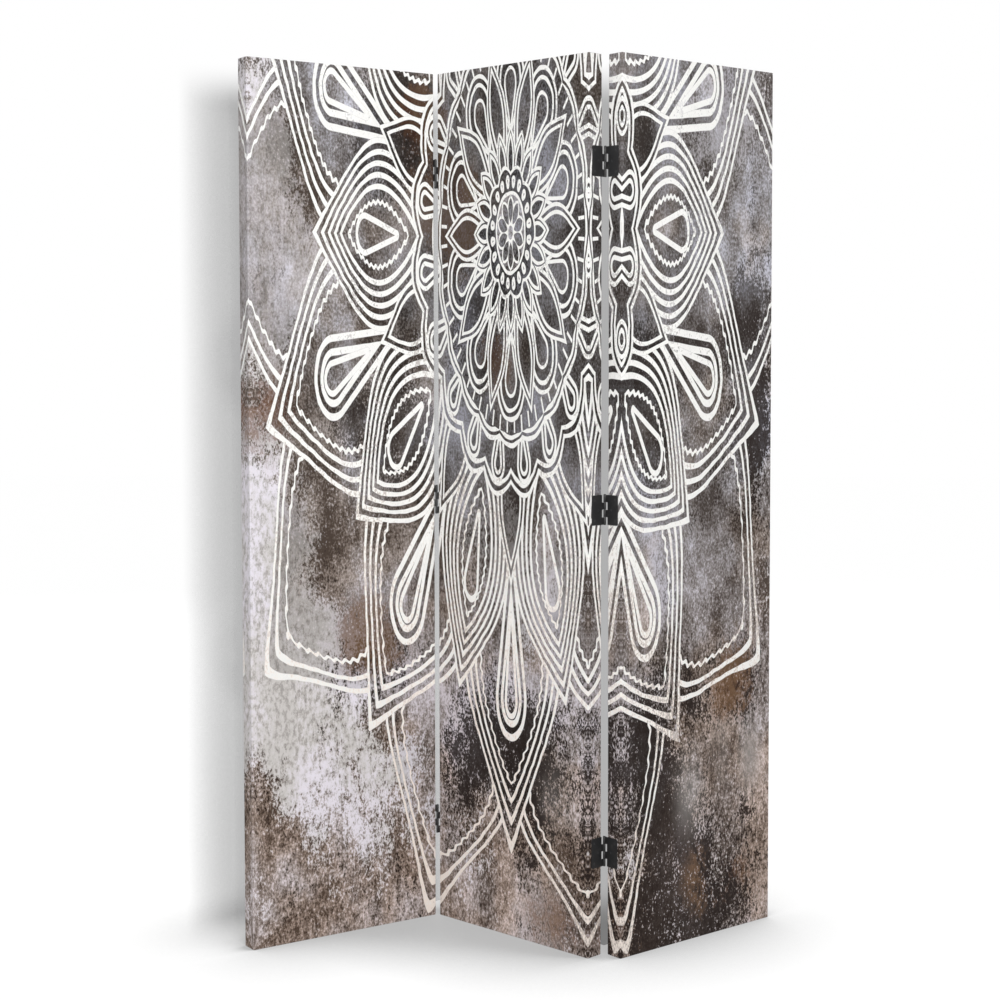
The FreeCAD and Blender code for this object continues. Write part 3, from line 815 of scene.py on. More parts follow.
class PlasterBench(GroupBench):
    """The print's ground under construction: its noises, and a method for each layer."""

    def __init__(self, paint: PlasterColours) -> None:
        """Make the group, and lay the noises and the parts of the print that its layers share.

        Args:
            paint: The ground's colours.
        """
        super().__init__("worn_plaster", {"Vector": None, "Calm": 0.0},
                         {"Color": "Color", "Wear": "Float", "Height": "Float"})
        self.paint = paint
        self.place, self.calm = self.given("Vector"), self.given("Calm")
        self.lively = 1.0 - self.calm
        self.clouds, self.blots, self.tints, self.torn, self.grain, self.grit = (
            noise.lay(self, self.place) for noise in (CLOUDS, BLOTS, TINTS, TORN, GRAIN, GRIT))
        self.speck = self.step(self.grit, 0.38, 0.64)
        self.ragged = self.torn + swing(self.grain, 0.50) + swing(self.speck, 0.13)
        self.hue = self.step(self.clouds + swing(self.grain, 0.5), 0.35, 0.62)
        self.dark = thickness(self, self.place, DARK_PATCHES)
        self.across, along, _ = self.parts(self.place)
        self.low = self.step(along, 0.95, 0.15)

    def bare(self) -> Wire:
        """The bare plaster: a mottled grey, tinted warm in some places and cold in others.

        Returns:
            Its colour.
        """
        bright = (0.30 + swing(self.clouds, 2.4) + swing(self.blots, self.calm * 1.3)
                  + swing(self.grain, self.lively * 0.85 + self.low * 0.60 + 0.55)
                  + self.speck * 0.30)
        colour = self.ramp(bright, dict(zip(MOTTLE_STOPS, self.paint.mottle)))
        right = self.step(self.across, 0.30, 0.75)
        cold = self.step(self.tints + right * (1.0 - self.low) * 0.10, 0.40, 0.60)
        tint = self.mix(cold, self.mix(self.low, *self.paint.warm),
                        self.mix(self.low, *self.paint.cold))
        return self.mix(1.0, colour, tint, "MULTIPLY")

    def grimed(self, colour: Wire) -> Wire:
        """Dark grime, and the soft clouds that lie on it.

        Args:
            colour: What it covers.

        Returns:
            The colour with the grime on it.
        """
        grime = GRIME.show(self, self.dark + (1.0 - self.ragged)) * (self.lively * 0.3 + 0.7)
        colour = self.mix(grime, colour, self.paint.grime)
        cloud = thickness(self, self.place, CLOUD_PATCHES) * CLOUD.show(self, self.clouds)
        return self.mix(cloud, colour, self.paint.cloud)

    def washed(self, colour: Wire) -> Wire:
        """Pale limewash, thinner in the hollows of the grain.

        Args:
            colour: What it covers.

        Returns:
            The colour with the wash on it.
        """
        pale = thickness(self, self.place, PALE_PATCHES)
        wash = WASH.show(self, self.ragged + pale) * (self.lively * 0.6 + 0.4)
        wash = wash * (self.step(self.grain + swing(self.torn, 0.3), 0.36, 0.54) * 0.40 + 0.55)
        return self.mix(wash, colour, self.mix(self.hue, *self.paint.wash))

    def rusted(self, colour: Wire) -> Wire:
        """Rust stains, which show only on their own patches.

        Args:
            colour: What they cover.

        Returns:
            The colour with the stains on it.
        """
        thick = thickness(self, self.place, RUST_PATCHES)
        rust = RUST.show(self, thick + self.clouds + swing(self.grain, 0.6))
        rust = rust * self.step(thick, 0.0, 0.10)
        return self.mix(rust, colour, self.mix(self.hue, *self.paint.stain))

    def flecked(self, colour: Wire) -> Wire:
        """Fine pale flecks, a few more of them on the dark patches.

        Args:
            colour: What they cover.

        Returns:
            The colour with the flecks on it.
        """
        flecks = FLECKS.show(self, self.grit + swing(self.grain, 0.6) + swing(self.torn, 0.5)
                             + self.dark * 0.08)
        return self.mix(flecks, colour, self.paint.fleck)

    def wear(self) -> Wire:
        """Where the drawn lines are rubbed off, which is most of all low on the right.

        Returns:
            How much of them is gone.
        """
        poor = self.low * self.step(self.across, 0.55, 0.80)
        return RUBBED.show(self, (self.grit + self.grain) * 0.6 + swing(self.torn, 0.8)
                           + poor * 0.07)


@cache
def worn_plaster() -> bpy.types.NodeTree:
    """The print's ground: a rubbed plaster wall, in the print's own metres.

    A mottled grey is covered by torn layers: dark grime, pale limewash and rust. Each shows
    where its thickness and a rough noise of its own add up past a threshold, so its edges
    are ragged at every scale. Soft clouds lie on the grime and fine flecks on top. Where Calm
    is 1 the layers are thin and the mottling is coarse: blots in place of grain.

    Returns:
        The shared group.
    """
    ground = PlasterBench(PlasterColours())
    colour = ground.rusted(ground.washed(ground.grimed(ground.bare())))
    return ground.give(Color=ground.flecked(colour), Wear=ground.wear(), Height=ground.ragged)


@cache
def weave() -> bpy.types.NodeTree:
    """Plain weave: warp and weft threads that pass over each other in turn.

    Each thread's height is the size of a sine across it, and the sign of the product of both
    sines says which of the two lies on top. Slow noise makes threads thicker and thinner.

    Returns:
        The shared group.
    """
    bench = GroupBench("weave", {"Vector": None, "Pitch": 0.0009},
                       {"Height": "Float", "Slub": "Float"})
    place = bench.given("Vector")
    across, along, _ = bench.parts(place)
    pitch = bench.given("Pitch")
    slub, slub_up = (bench.noise(bench.scaled(place, stretch, (0.0, 0.0)), 1.0, 2.0)
                     for stretch in ((30.0, 400.0), (400.0, 30.0)))
    warp = bench.maths("SINE", across / pitch * math.pi + slub_up)
    weft = bench.maths("SINE", along / pitch * math.pi + slub)
    over = bench.maths("GREATER_THAN", warp * weft, 0.0)
    height = over * abs(warp) + (1.0 - over) * abs(weft)
    return bench.give(Height=height * (0.7 + (slub + slub_up) * 0.3), Slub=(slub + slub_up) * 0.5)


@dataclass(frozen=True)
class PineColours:
    """The colours of pine: early and late wood, fibres, stains and knots."""

    early: Colour = srgb(226, 198, 155)
    late: Colour = srgb(190, 142, 92)
    fibre: Colour = srgb(176, 134, 90)
    stain: Colour = srgb(205, 168, 120)
    knot: Colour = srgb(96, 58, 34)


@cache
def pine_grain() -> bpy.types.NodeTree:
    """Planed pine: rings about a pith beside the bar, with Z along the grain.

    The distance from the pith, stirred by slow noise, runs through a saw of early and late
    wood. Small dark knots swell the rings round them.

    Returns:
        The shared group.
    """
    bench = GroupBench("pine_grain", {"Vector": None, "Ring width": 0.0034},
                       {"Color": "Color", "Height": "Float", "Fibre": "Float"})
    wood = PineColours()
    across, deep, along = bench.parts(bench.given("Vector"))

    def drawn_out(beside: float, up: float) -> Wire:
        """The place times one scale beside the grain and a smaller one along it."""
        return bench.vector(across * beside, deep * beside, along * up)

    stir = bench.noise(drawn_out(9.0, 1.3), 1.0, 3.0, flat=False)
    fibre = bench.noise(drawn_out(900.0, 14.0), 1.0, 3.0, 0.6, flat=False)
    stain = bench.noise(drawn_out(20.0, 3.0), 1.0, 3.0, flat=False)
    knots = bench.get("TexVoronoi", {"Vector": drawn_out(9.0, 2.6), "Scale": 1.0}, "Distance",
                      voronoi_dimensions="3D")
    near = bench.step(knots, 0.34, 0.02)
    pith = bench.size(bench.vector(across + 31 * MM, deep + 52 * MM))
    rings = (pith + swing(stir, 50 * MM) + near * (10 * MM)) / bench.given("Ring width")
    turn = bench.maths("FRACT", rings)
    late = bench.step(turn, 0.35, 0.95) * bench.step(turn, 1.0, 0.97)
    colour = bench.mix(late * 0.62, wood.early, wood.late)
    colour = bench.mix(bench.step(fibre, 0.45, 0.8, 0.30), colour, wood.fibre)
    colour = bench.mix(bench.step(stain, 0.4, 0.8, 0.25), colour, wood.stain)
    colour = bench.mix(bench.step(near, 0.72, 0.92), colour, wood.knot)
    return bench.give(Color=colour, Height=fibre * 0.5 - late * 0.5, Fibre=fibre)


@cache
def coat_wear() -> bpy.types.NodeTree:
    """A coat of paint on a solid vector: its scattered scuffs, its fine peel and its dust.

    Returns:
        The shared group.
    """
    bench = GroupBench("coat_wear", {"Vector": None, "Amount": 0.5},
                       {"Rubbed": "Float", "Peel": "Float", "Dust": "Float"})
    place = bench.given("Vector")
    peel = bench.noise(place, 1400.0, 2.0, flat=False)
    scuffs = bench.noise(place, 160.0, 5.0, 0.65, flat=False)
    dust = bench.noise(place, 60.0, 4.0, 0.7, flat=False)
    rubbed = bench.step(scuffs, 0.76 - bench.given("Amount") * 0.2, 0.9)
    return bench.give(Rubbed=rubbed, Peel=peel, Dust=bench.step(dust, 0.5, 0.8))


# Finishes


@dataclass(frozen=True)
class PrintedCanvas:
    """The printed face of the cloth: line work over worn plaster, on a primed weave.

    Attributes:
        line_colour: The drawn lines.
        faded_colour: The same where they have faded, low on the print.
        ink_wear: How much of the lines is rubbed off.
        corner_wear: How much more is rubbed off low on the right.
        thread: The width of a thread.
        weave_depth: How deep the weave's relief is.
    """

    line_colour: Colour = srgb(252, 251, 248)
    faded_colour: Colour = srgb(240, 226, 215)
    ink_wear: float = 0.50
    corner_wear: float = 0.35
    thread: float = 1 * MM
    weave_depth: float = 0.1 * MM

    def make(self) -> bpy.types.Material:
        """Build the material.

        Returns:
            The printed canvas.
        """
        surface = Surface("printed_canvas")
        place = surface.print_place()
        across, along, _ = surface.parts(place)
        drawn = surface.use(ornament(), Vector=place)
        calm = surface.step(drawn("Tone"), 1.0, 0.95) * surface.step(along, 0.35, 0.80)
        plaster = surface.use(worn_plaster(), Vector=place, Calm=calm)
        threads = surface.use(weave(), Vector=place, Pitch=self.thread)
        ground = surface.mix(1.0, plaster("Color"), surface.grey(drawn("Tone")), "MULTIPLY")
        corner = surface.step(along, 0.75, 0.0) * surface.step(across, 0.62, 0.82)
        ink = drawn("Ink") * (1.0 - plaster("Wear") * (corner * self.corner_wear + self.ink_wear))
        colour = surface.mix(ink, ground, self.line_paint(surface, plaster("Height"), along))
        # The weave's height overlaid on the colour is painted shade between the threads and painted light
        # on their tops.
        colour = surface.mix(0.10, colour, surface.grey(threads("Height")), "OVERLAY")
        rough = 0.70 - ink * 0.08 + threads("Slub") * 0.10
        return surface.coat(colour, rough, threads("Height"), self.weave_depth,
                            Specular_IOR_Level=0.15)

    def line_paint(self, surface: Surface, relief: Wire, along: Wire) -> Wire:
        """The drawn lines' own colour: faded low on the print, and duller in its hollows.

        Args:
            surface: The material.
            relief: The height of the print's ground.
            along: How far up the print a point lies.

        Returns:
            The lines' colour.
        """
        fading = surface.step(relief + (0.80 - along) * 0.40, 0.50, 0.78, 0.8)
        colour = surface.mix(fading, self.line_colour, self.faded_colour)
        bright = surface.step(relief, 0.1, 0.6) * 0.14 + 0.86
        return surface.mix(1.0, colour, surface.grey(bright), "MULTIPLY")


@dataclass(frozen=True)
class RawCanvas:
    """The cloth's unprinted reverse: unbleached cotton with slubs and a few soft stains."""

    colour: Colour = srgb(236, 231, 221)
    shade: Colour = srgb(214, 206, 190)
    thread: float = 1 * MM
    weave_depth: float = 0.14 * MM

    def make(self) -> bpy.types.Material:
        """Build the material.

        Returns:
            The raw canvas.
        """
        surface = Surface("raw_canvas")
        place = surface.print_place()
        threads = surface.use(weave(), Vector=place, Pitch=self.thread)
        stains = surface.step(surface.noise(place, 4.0, 5.0, 0.6), 0.45, 0.75, 0.35)
        colour = surface.mix(stains + threads("Slub") * 0.25, self.colour, self.shade)
        # The weave's height overlaid on the colour is painted shade between the threads and painted light
        # on their tops.
        colour = surface.mix(0.25, colour, surface.grey(threads("Height")), "OVERLAY")
        rough = 0.84 + threads("Slub") * 0.10
        return surface.coat(colour, rough, threads("Height"), self.weave_depth,
                            Specular_IOR_Level=0.2)


@dataclass(frozen=True)
class Pine:
    """Planed pine for one panel's bars, in that panel's own directions.

    Attributes:
        panel: The panel's name.
        place: The panel's middle, and how far up the timber its bars were cut.
        turn: The panel's turn.
        grain: Which way the bars run.
        depth: How deep the grain's relief is.
    """

    panel: str
    place: tuple[float, float, float]
    turn: float
    grain: Grain
    depth: float = 0.25 * MM

    def make(self) -> bpy.types.Material:
        """Build the material.

        Returns:
            The pine.
        """
        surface = Surface(f"{self.panel}_pine_{self.grain.name.lower()}")
        mapped = surface.get("Mapping", {
            "Vector": surface.place(), "Location": self.place,
            "Rotation": (0.0, self.grain.value, self.turn)}, vector_type="TEXTURE")
        wood = surface.use(pine_grain(), Vector=mapped)
        return surface.coat(wood("Color"), 0.52 + wood("Fibre") * 0.18, wood("Height"), self.depth,
                            Specular_IOR_Level=0.35)


@dataclass(frozen=True)
class PaintedSteel:
    """Black coated steel: an even satin coat, rubbed here and there to a lighter grey.

    Attributes:
        name: The material's name.
        colour: The coat.
        rubbed: The steel under it.
        dust: The dust on it.
        roughness: How rough the coat is where it is clean.
        amount: How much of it is rubbed, from 0 to 1.
        peel: How deep the coat's relief is.
    """

    name: str
    colour: Colour = srgb(31, 31, 32)
    rubbed: Colour = srgb(92, 93, 95)
    dust: Colour = srgb(120, 118, 114)
    roughness: float = 0.42
    amount: float = 0.5
    peel: float = 0.03 * MM

    def make(self) -> bpy.types.Material:
        """Build the material.

        Returns:
            The painted steel.
        """
        surface = Surface(self.name)
        wear = surface.use(coat_wear(), Vector=surface.place(), Amount=self.amount)
        colour = surface.mix(wear("Rubbed") * 0.8, self.colour, self.rubbed)
        colour = surface.mix(wear("Dust") * 0.12, colour, self.dust)
        rough = self.roughness + wear("Peel") * 0.12 + wear("Dust") * 0.15
        return surface.coat(colour, rough, wear("Peel"), self.peel)


@dataclass(frozen=True)
class BrightWire:
    """Galvanised staple wire: the fine marks of its drawing and a dull zinc bloom."""

    colour: Colour = srgb(190, 192, 194)
    dull: Colour = srgb(140, 141, 142)
    mark_depth: float = 0.02 * MM

    def make(self) -> bpy.types.Material:
        """Build the material.

        Returns:
            The staple wire.
        """
        surface = Surface("staple_wire")
        place = surface.place()
        bloom = surface.noise(place, 500.0, 4.0, 0.6, flat=False)
        marks = surface.noise(place, 3000.0, 2.0, flat=False)
        colour = surface.mix(surface.step(bloom, 0.35, 0.75, 0.6), self.colour, self.dull)
        return surface.coat(colour, 0.30 + bloom * 0.25, marks, self.mark_depth, Metallic=1.0)


# Meshes from grids

MICROMETRES = 1e6  # in a metre
TINY = 1e-9  # a length under any that is drawn
WELD = 0.01 * MM  # how close a CAD mesh's loose corners lie
SHARP = math.radians(40)  # past this angle an edge is an edge


@dataclass
class Grid:
    """A patch of surface: rows and columns of points, and where each lies on the print."""

    points: np.ndarray
    prints: np.ndarray
    flipped: bool = False

    def faces(self, first: int) -> np.ndarray:
        """The patch's quads.

        Args:
            first: The number of its first corner.

        Returns:
            Four corners to a row.
        """
        rows, columns = self.points.shape[:2]
        corner = first + np.arange(rows * columns).reshape(rows, columns)
        quads = np.stack([corner[:-1, :-1], corner[:-1, 1:], corner[1:, 1:], corner[1:, :-1]], -1)
        quads = quads.reshape(-1, 4)
        return quads[:, ::-1] if self.flipped else quads


def build_piece(name: str, grids: list[Grid], materials: list[bpy.types.Material],
                uv_name: str | None = None, sharp: float | None = None) -> bpy.types.Object:
    """Join grids into one mesh whose shared edges are closed.

    Points that agree to a micrometre become one, and every corner keeps its own place on
    the print. A quad that has lost an edge to such a point, as at a pole, becomes a triangle.

    Args:
        name: The piece's name.
        grids: Its patches, in the row's frame.
        materials: Its material slots.
        uv_name: The name of its UV map, if it has one.
        sharp: The angle in radians past which an edge stays sharp, or None for all smooth.

    Returns:
        The new object, at the origin.
    """
    counts = np.cumsum([0] + [grid.points[..., 0].size for grid in grids])
    points = np.concatenate([grid.points.reshape(-1, 3) for grid in grids])
    prints = np.concatenate([grid.prints.reshape(-1, 2) for grid in grids])
    quads = np.concatenate([grid.faces(first) for grid, first in zip(grids, counts)])
    _, kept, joined = np.unique(np.round(points * MICROMETRES).astype(np.int64), axis=0,
                                return_index=True, return_inverse=True)
    joined = joined.reshape(-1)
    lost = joined[quads] == np.roll(joined[quads], -1, axis=1)
    narrow = lost.any(1)
    others = np.array([[1, 2, 3], [0, 2, 3], [0, 1, 3], [0, 1, 2]])[lost[narrow].argmax(1)]
    triangles = np.take_along_axis(quads[narrow], others, axis=1)
    mesh = bpy.data.meshes.new(name)
    mesh.from_pydata(points[kept].tolist(), [],
                     joined[quads[~narrow]].tolist() + joined[triangles].tolist())
    if uv_name:
        corners = np.concatenate([quads[~narrow].ravel(), triangles.ravel()])
        layer = mesh.uv_layers.new(name=uv_name)
        layer.uv.foreach_set("vector", prints[corners].astype(np.float32).ravel())
    for material in materials:
        mesh.materials.append(material)
    mesh.shade_smooth()
    if sharp is not None:
        mesh.set_sharp_from_angle(angle=sharp)
    piece = bpy.data.objects.new(name, mesh)
    bpy.context.scene.collection.objects.link(piece)
    return piece


def revolve(profile: np.ndarray, steps: int) -> np.ndarray:
    """Turn a profile once round the X axis.

    Args:
        profile: Rows of place along the axis and distance from it.
        steps: How many columns the turn has; the last repeats the first.

    Returns:
        Points by profile row and angle.
    """
    angle = np.linspace(0, 2 * np.pi, steps + 1)
    along, away = profile[:, :1], profile[:, 1:]
    return np.stack(np.broadcast_arrays(along, away * np.cos(angle), away * np.sin(angle)), -1)


def smooth(value: np.ndarray) -> np.ndarray:
    """A smooth step from 0 to 1: 3v^2 - 2v^3 of the clipped value."""
    value = np.clip(value, 0, 1)
    return value * value * (3 - 2 * value)


def dress(node: str, material: bpy.types.Material, edge: float = 0.0) -> None:
    """Give a CAD node its finish and, if asked, a small soft edge.

    Args:
        node: The node's name.
        material: Its finish.
        edge: The width of the softened edge, or 0 for none.
    """
    piece = frame["nodes"][node]
    if not piece.material_slots:
        piece.data.materials.append(material)
    for place in piece.material_slots:
        place.material = material
    if edge:
        weld = piece.modifiers.new("weld", "WELD")
        weld.merge_threshold = WELD
        soft = piece.modifiers.new("soft_edge", "BEVEL")
        soft.width = edge
        soft.segments = 2
        soft.limit_method = "ANGLE"
        soft.angle_limit = SHARP
        soft.harden_normals = True
    LOG.info("%s: %s", node, material.name)


# The screen


@dataclass(frozen=True)
class PanelSizes:
    """The sizes that all three panels share.

    Attributes:
        width: A panel's width over the cloth.
        height: Its height.
        depth: Its depth from front to back.
        cloth: The cloth's thickness.
        turnover: How far the cloth reaches over the back.
        lip: The width of the bars' raised lip, which holds the cloth off them.
        staple_end: How far the first staple is from a corner.
        hinge_end: How far the middles of the outer hinges are from the panel's ends.
        barrel: From a pin's middle to the panel beside it.
        leaf: The thickness of a hinge leaf.
    """

    width: float = 360 * MM
    height: float = 1500 * MM
    depth: float = 32 * MM
    cloth: float = 1 * MM
    turnover: float = 25 * MM
    lip: float = 6 * MM
    staple_end: float = 48 * MM
    hinge_end: float = 175 * MM
    barrel: float = 2.25 * MM
    leaf: float = 1.1 * MM


@dataclass(frozen=True)
class HingeLine:
    """Where a fold's pins stand: a joint of the frame, and how proud of the panels it is."""

    joint: str
    proud: float
    behind: bool

    def depth(self, sizes: PanelSizes) -> float:
        """The pins' depth in a panel's own directions."""
        out = sizes.depth / 2 + self.proud
        return out if self.behind else -out

    def inward(self, sizes: PanelSizes, reach: float) -> float:
        """A depth that lies a reach from the pins, over the panel's edge."""
        return self.depth(sizes) + (-reach if self.behind else reach)


LINES = {Fold.VALLEY: HingeLine("valley_fold_hinge", proud=3 * MM, behind=False),
         Fold.RIDGE: HingeLine("ridge_fold_hinge", proud=6 * MM, behind=True)}


@dataclass
class Panel:
    """One panel: its sizes, its turn, and the joint that its place is worked out from.

    Attributes:
        name: Its name.
        turn: Its turn about Z.
        print_left: Where its left edge lies on the print, which runs on over all three.
        folds: The fold at each of its edges that has one.
        sizes: The sizes that it shares with the others.
    """

    name: str
    turn: float
    print_left: float
    folds: dict[Side, Fold]
    sizes: PanelSizes = field(default_factory=PanelSizes)

    @property
    def body(self) -> str:
        """The body that the panel's pieces ride on."""
        return f"{self.name}_panel"

    def centre(self) -> np.ndarray:
        """The panel's middle in plan: a joint's place less the turned way from there to it.

        Returns:
            Its X and Y.
        """
        side, fold = next(iter(self.folds.items()))
        line = LINES[fold]
        joint = next(item for item in frame["joints"] if item["name"] == line.joint)
        way = np.array([side.value * (self.sizes.width / 2 + self.sizes.barrel),
                        line.depth(self.sizes)])
        return np.array(joint["pos_m"][:2]) - self.turned(way)

    def turned(self, flat: np.ndarray) -> np.ndarray:
        """Turn points in plan by the panel's turn."""
        cos, sin = math.cos(self.turn), math.sin(self.turn)
        return flat @ np.array([[cos, sin], [-sin, cos]])

    def stand(self, points: np.ndarray) -> np.ndarray:
        """Move points from the panel's own directions to where it stands."""
        flat = self.turned(points[..., :2]) + self.centre()
        return np.concatenate([flat, points[..., 2:]], -1)


@dataclass
class CanvasWrap:
    """The cloth of one panel: front, edges and stapled margins, in one piece.

    Attributes:
        panel: The panel that it covers.
        fold_radius: The radius of its outer face at a fold.
        cell: About how wide an even cell of its mesh is.
        slack: How far the front sinks inside the lip.
        side_run: How far from the lip it takes to sink so far at the sides.
        end_run: The same at the top and bottom.
        staple_pitch: About how far apart the staples are.
        dent: How deep a staple presses the margin in.
        dent_along: How far along the margin that dent reaches.
        dent_inward: How far across the margin it reaches.
        swell: How far the margin stands off between staples.
        flap: The thickness of a folded corner.
        flap_lift: How far its mitre stands off the margin.
        flap_share: How much of the margin's width it reaches over.
        flap_rise: How far along a smooth rise its outermost row is, and over what share of
            the way inwards the whole of that rise would run.
        flap_rows: The rows and columns of its mesh.
    """

    panel: Panel
    fold_radius: float = 1.3 * MM
    cell: float = 12 * MM
    slack: float = 0.7 * MM
    side_run: float = 50 * MM
    end_run: float = 80 * MM
    staple_pitch: float = 110 * MM
    dent: float = 0.25 * MM
    dent_along: float = 9 * MM
    dent_inward: float = 6 * MM
    swell: float = 0.35 * MM
    flap: float = 1 * MM
    flap_lift: float = 0.15 * MM
    flap_share: float = 0.95
    flap_rise: tuple[float, float] = (0.4, 0.04)
    flap_rows: tuple[int, int] = (12, 9)

    def lines(self, length: float) -> np.ndarray:
        """Places across a face: three close to each fold and even cells between them.

        The close ones lie where rays from the fold's centre, at even angles up to a corner's
        half turn of 45 degrees, meet the face.

        Args:
            length: The face's width or height.

        Returns:
            The places, from 0 to the length.
        """
        rays = np.radians(np.linspace(45, 0, 4))
        near = self.fold_radius * (1 - np.tan(rays))
        inner = np.linspace(self.fold_radius, length - self.fold_radius,
                            max(2, round(length / self.cell)) + 1)
        return np.concatenate([near[:-1], inner, length - near[:-1][::-1]])

    def rounded(self, points: np.ndarray) -> np.ndarray:
        """Round a sharp box: push each point to the fold's radius from the inner box.

        Args:
            points: Points on the sharp box, in the panel's own directions.

        Returns:
            The same points on the rounded box.
        """
        sizes = self.panel.sizes
        half = np.array([sizes.width / 2, sizes.depth / 2, sizes.height / 2])
        middle = np.array([0, 0, sizes.height / 2])
        local = points - middle
        core = np.clip(local, self.fold_radius - half, half - self.fold_radius)
        way = local - core
        size = np.linalg.norm(way, axis=-1, keepdims=True)
        return middle + core + way / np.maximum(size, TINY) * np.minimum(self.fold_radius, size + 1)

    def front(self) -> Grid:
        """The front face, which sinks a little inside the bars' raised lip.

        The sink is the product of a smooth rise from each of the four edges.

        Returns:
            The front.
        """
        sizes = self.panel.sizes
        x, z = np.meshgrid(self.lines(sizes.width) - sizes.width / 2, self.lines(sizes.height))
        points = self.rounded(np.stack([x, np.full_like(x, -sizes.depth / 2), z], -1))
        from_side = sizes.width / 2 - np.abs(x) - sizes.lip
        from_end = sizes.height / 2 - np.abs(z - sizes.height / 2) - sizes.lip
        points[..., 1] += self.slack * smooth(from_side / self.side_run) * smooth(from_end / self.end_run)
        return Grid(points, np.stack([x + sizes.width / 2 + self.panel.print_left, z], -1))

    def path(self) -> np.ndarray:
        """Places along the way from the front fold over the edge and inwards on the back.

        Returns:
            Distances from the front fold.
        """
        sizes = self.panel.sizes
        margin = self.lines(sizes.turnover * 2)
        margin = margin[margin <= sizes.turnover + TINY]
        return np.concatenate([self.lines(sizes.depth), sizes.depth + margin[1:]])

    def drawn_in(self, way: np.ndarray, place: np.ndarray,
                 length: float) -> tuple[np.ndarray, np.ndarray, np.ndarray]:
        """Split the way over an edge, and draw places along that edge in at both ends.

        A place on the way is a depth until the back fold, and then a distance inwards. The
        rows draw in by that distance at both ends, which makes the mitres.

        Args:
            way: How far a point is from the front fold.
            place: How far along the edge it is.
            length: How long the edge is.

        Returns:
            Each point's depth, its distance inwards, and its place along the drawn-in row.
        """
        depth = np.minimum(way, self.panel.sizes.depth)
        inward = np.maximum(way - self.panel.sizes.depth, 0)
        return depth, inward, inward + place * (length - 2 * inward) / length

    def over_side(self, side: Side) -> Grid:
        """The cloth over one upright edge, mitred on the back.

        Args:
            side: Which edge.

        Returns:
            The edge and its margin.
        """
        sizes = self.panel.sizes
        way, z = np.meshgrid(self.path(), self.lines(sizes.height))
        depth, inward, z = self.drawn_in(way, z, sizes.height)
        x = side.value * (sizes.width / 2 - inward)
        points = self.rounded(np.stack([x, depth - sizes.depth / 2, z], -1))
        points = self.pucker(points, inward, z, sizes.height)
        across = self.panel.print_left + (0 if side is Side.LEFT else sizes.width)
        return Grid(points, np.stack([across - side.value * way, z], -1), side is Side.LEFT)

    def over_end(self, end: End) -> Grid:
        """The cloth over the top or bottom edge, mitred like the sides.

        Args:
            end: Which edge.

        Returns:
            The edge and its margin.
        """
        sizes = self.panel.sizes
        x, way = np.meshgrid(self.lines(sizes.width), self.path())
        depth, inward, x = self.drawn_in(way, x, sizes.width)
        z = sizes.height - inward if end is End.TOP else inward
        points = self.rounded(np.stack([x - sizes.width / 2, depth - sizes.depth / 2, z], -1))
        points = self.pucker(points, inward, x, sizes.width)
        along = sizes.height - way if end is End.TOP else way
        return Grid(points, np.stack([self.panel.print_left + x, along], -1), end is End.BOTTOM)

    def pucker(self, points: np.ndarray, inward: np.ndarray, place: np.ndarray,
               length: float) -> np.ndarray:
        """Press the margin in at each staple and let it swell a little between them.

        A staple's dent is a bell curve about it; the swelling is a cosine of the same pitch
        that grows towards the raw edge.

        Args:
            points: The points over one edge, which are changed.
            inward: How far inwards on the back each lies.
            place: How far along the edge it lies.
            length: How long the edge is.

        Returns:
            The same points.
        """
        sizes = self.panel.sizes
        run = length - 2 * sizes.staple_end
        pitch = run / round(run / self.staple_pitch)
        phase = (place - sizes.staple_end) / pitch
        along = (phase - np.round(phase)) * pitch / self.dent_along
        across = (inward - sizes.turnover / 2) / self.dent_inward
        dent = self.dent * np.exp(-along ** 2 - across ** 2)
        swell = self.swell * (1 - np.cos(2 * np.pi * phase)) / 2 * smooth(inward / sizes.turnover)
        points[..., 1] += np.where(inward > 0, swell - dent, 0)
        return points

    def folded_corner(self, side: Side, end: End) -> Grid:
        """The folded corner that lies on a margin: a triangle from the mitre to its cut edge.

        Rows run inwards from the end of the panel, and columns from the cut edge out to the
        mitre, where the cloth turns under. Its height over the margin is a thickness that
        falls to nothing at the mitre: one less the sixth power of the share of the way, under
        a root. The outermost row lies lower.

        Args:
            side: Which upright edge it is at.
            end: Which level edge it is at.

        Returns:
            The folded corner.
        """
        sizes = self.panel.sizes
        rows, columns = self.flap_rows
        start, run = self.flap_rise
        share, across = np.meshgrid(np.linspace(0, 1, columns), np.linspace(0, self.flap_share, rows))
        reach = sizes.turnover - sizes.cloth
        x = sizes.width / 2 - sizes.turnover + reach * (1 - across) * share
        z = sizes.cloth + reach * across
        thick = self.flap * np.sqrt(np.clip(1 - share ** 6, 0, 1)) + self.flap_lift
        y = sizes.depth / 2 + thick * smooth(across / run + start)
        z = z if end is End.BOTTOM else sizes.height - z
        points = np.stack([side.value * x, y, z], -1)
        prints = np.stack([self.panel.print_left + sizes.width / 2 + side.value * x, z], -1)
        return Grid(points, prints, (side is Side.LEFT) != (end is End.BOTTOM))

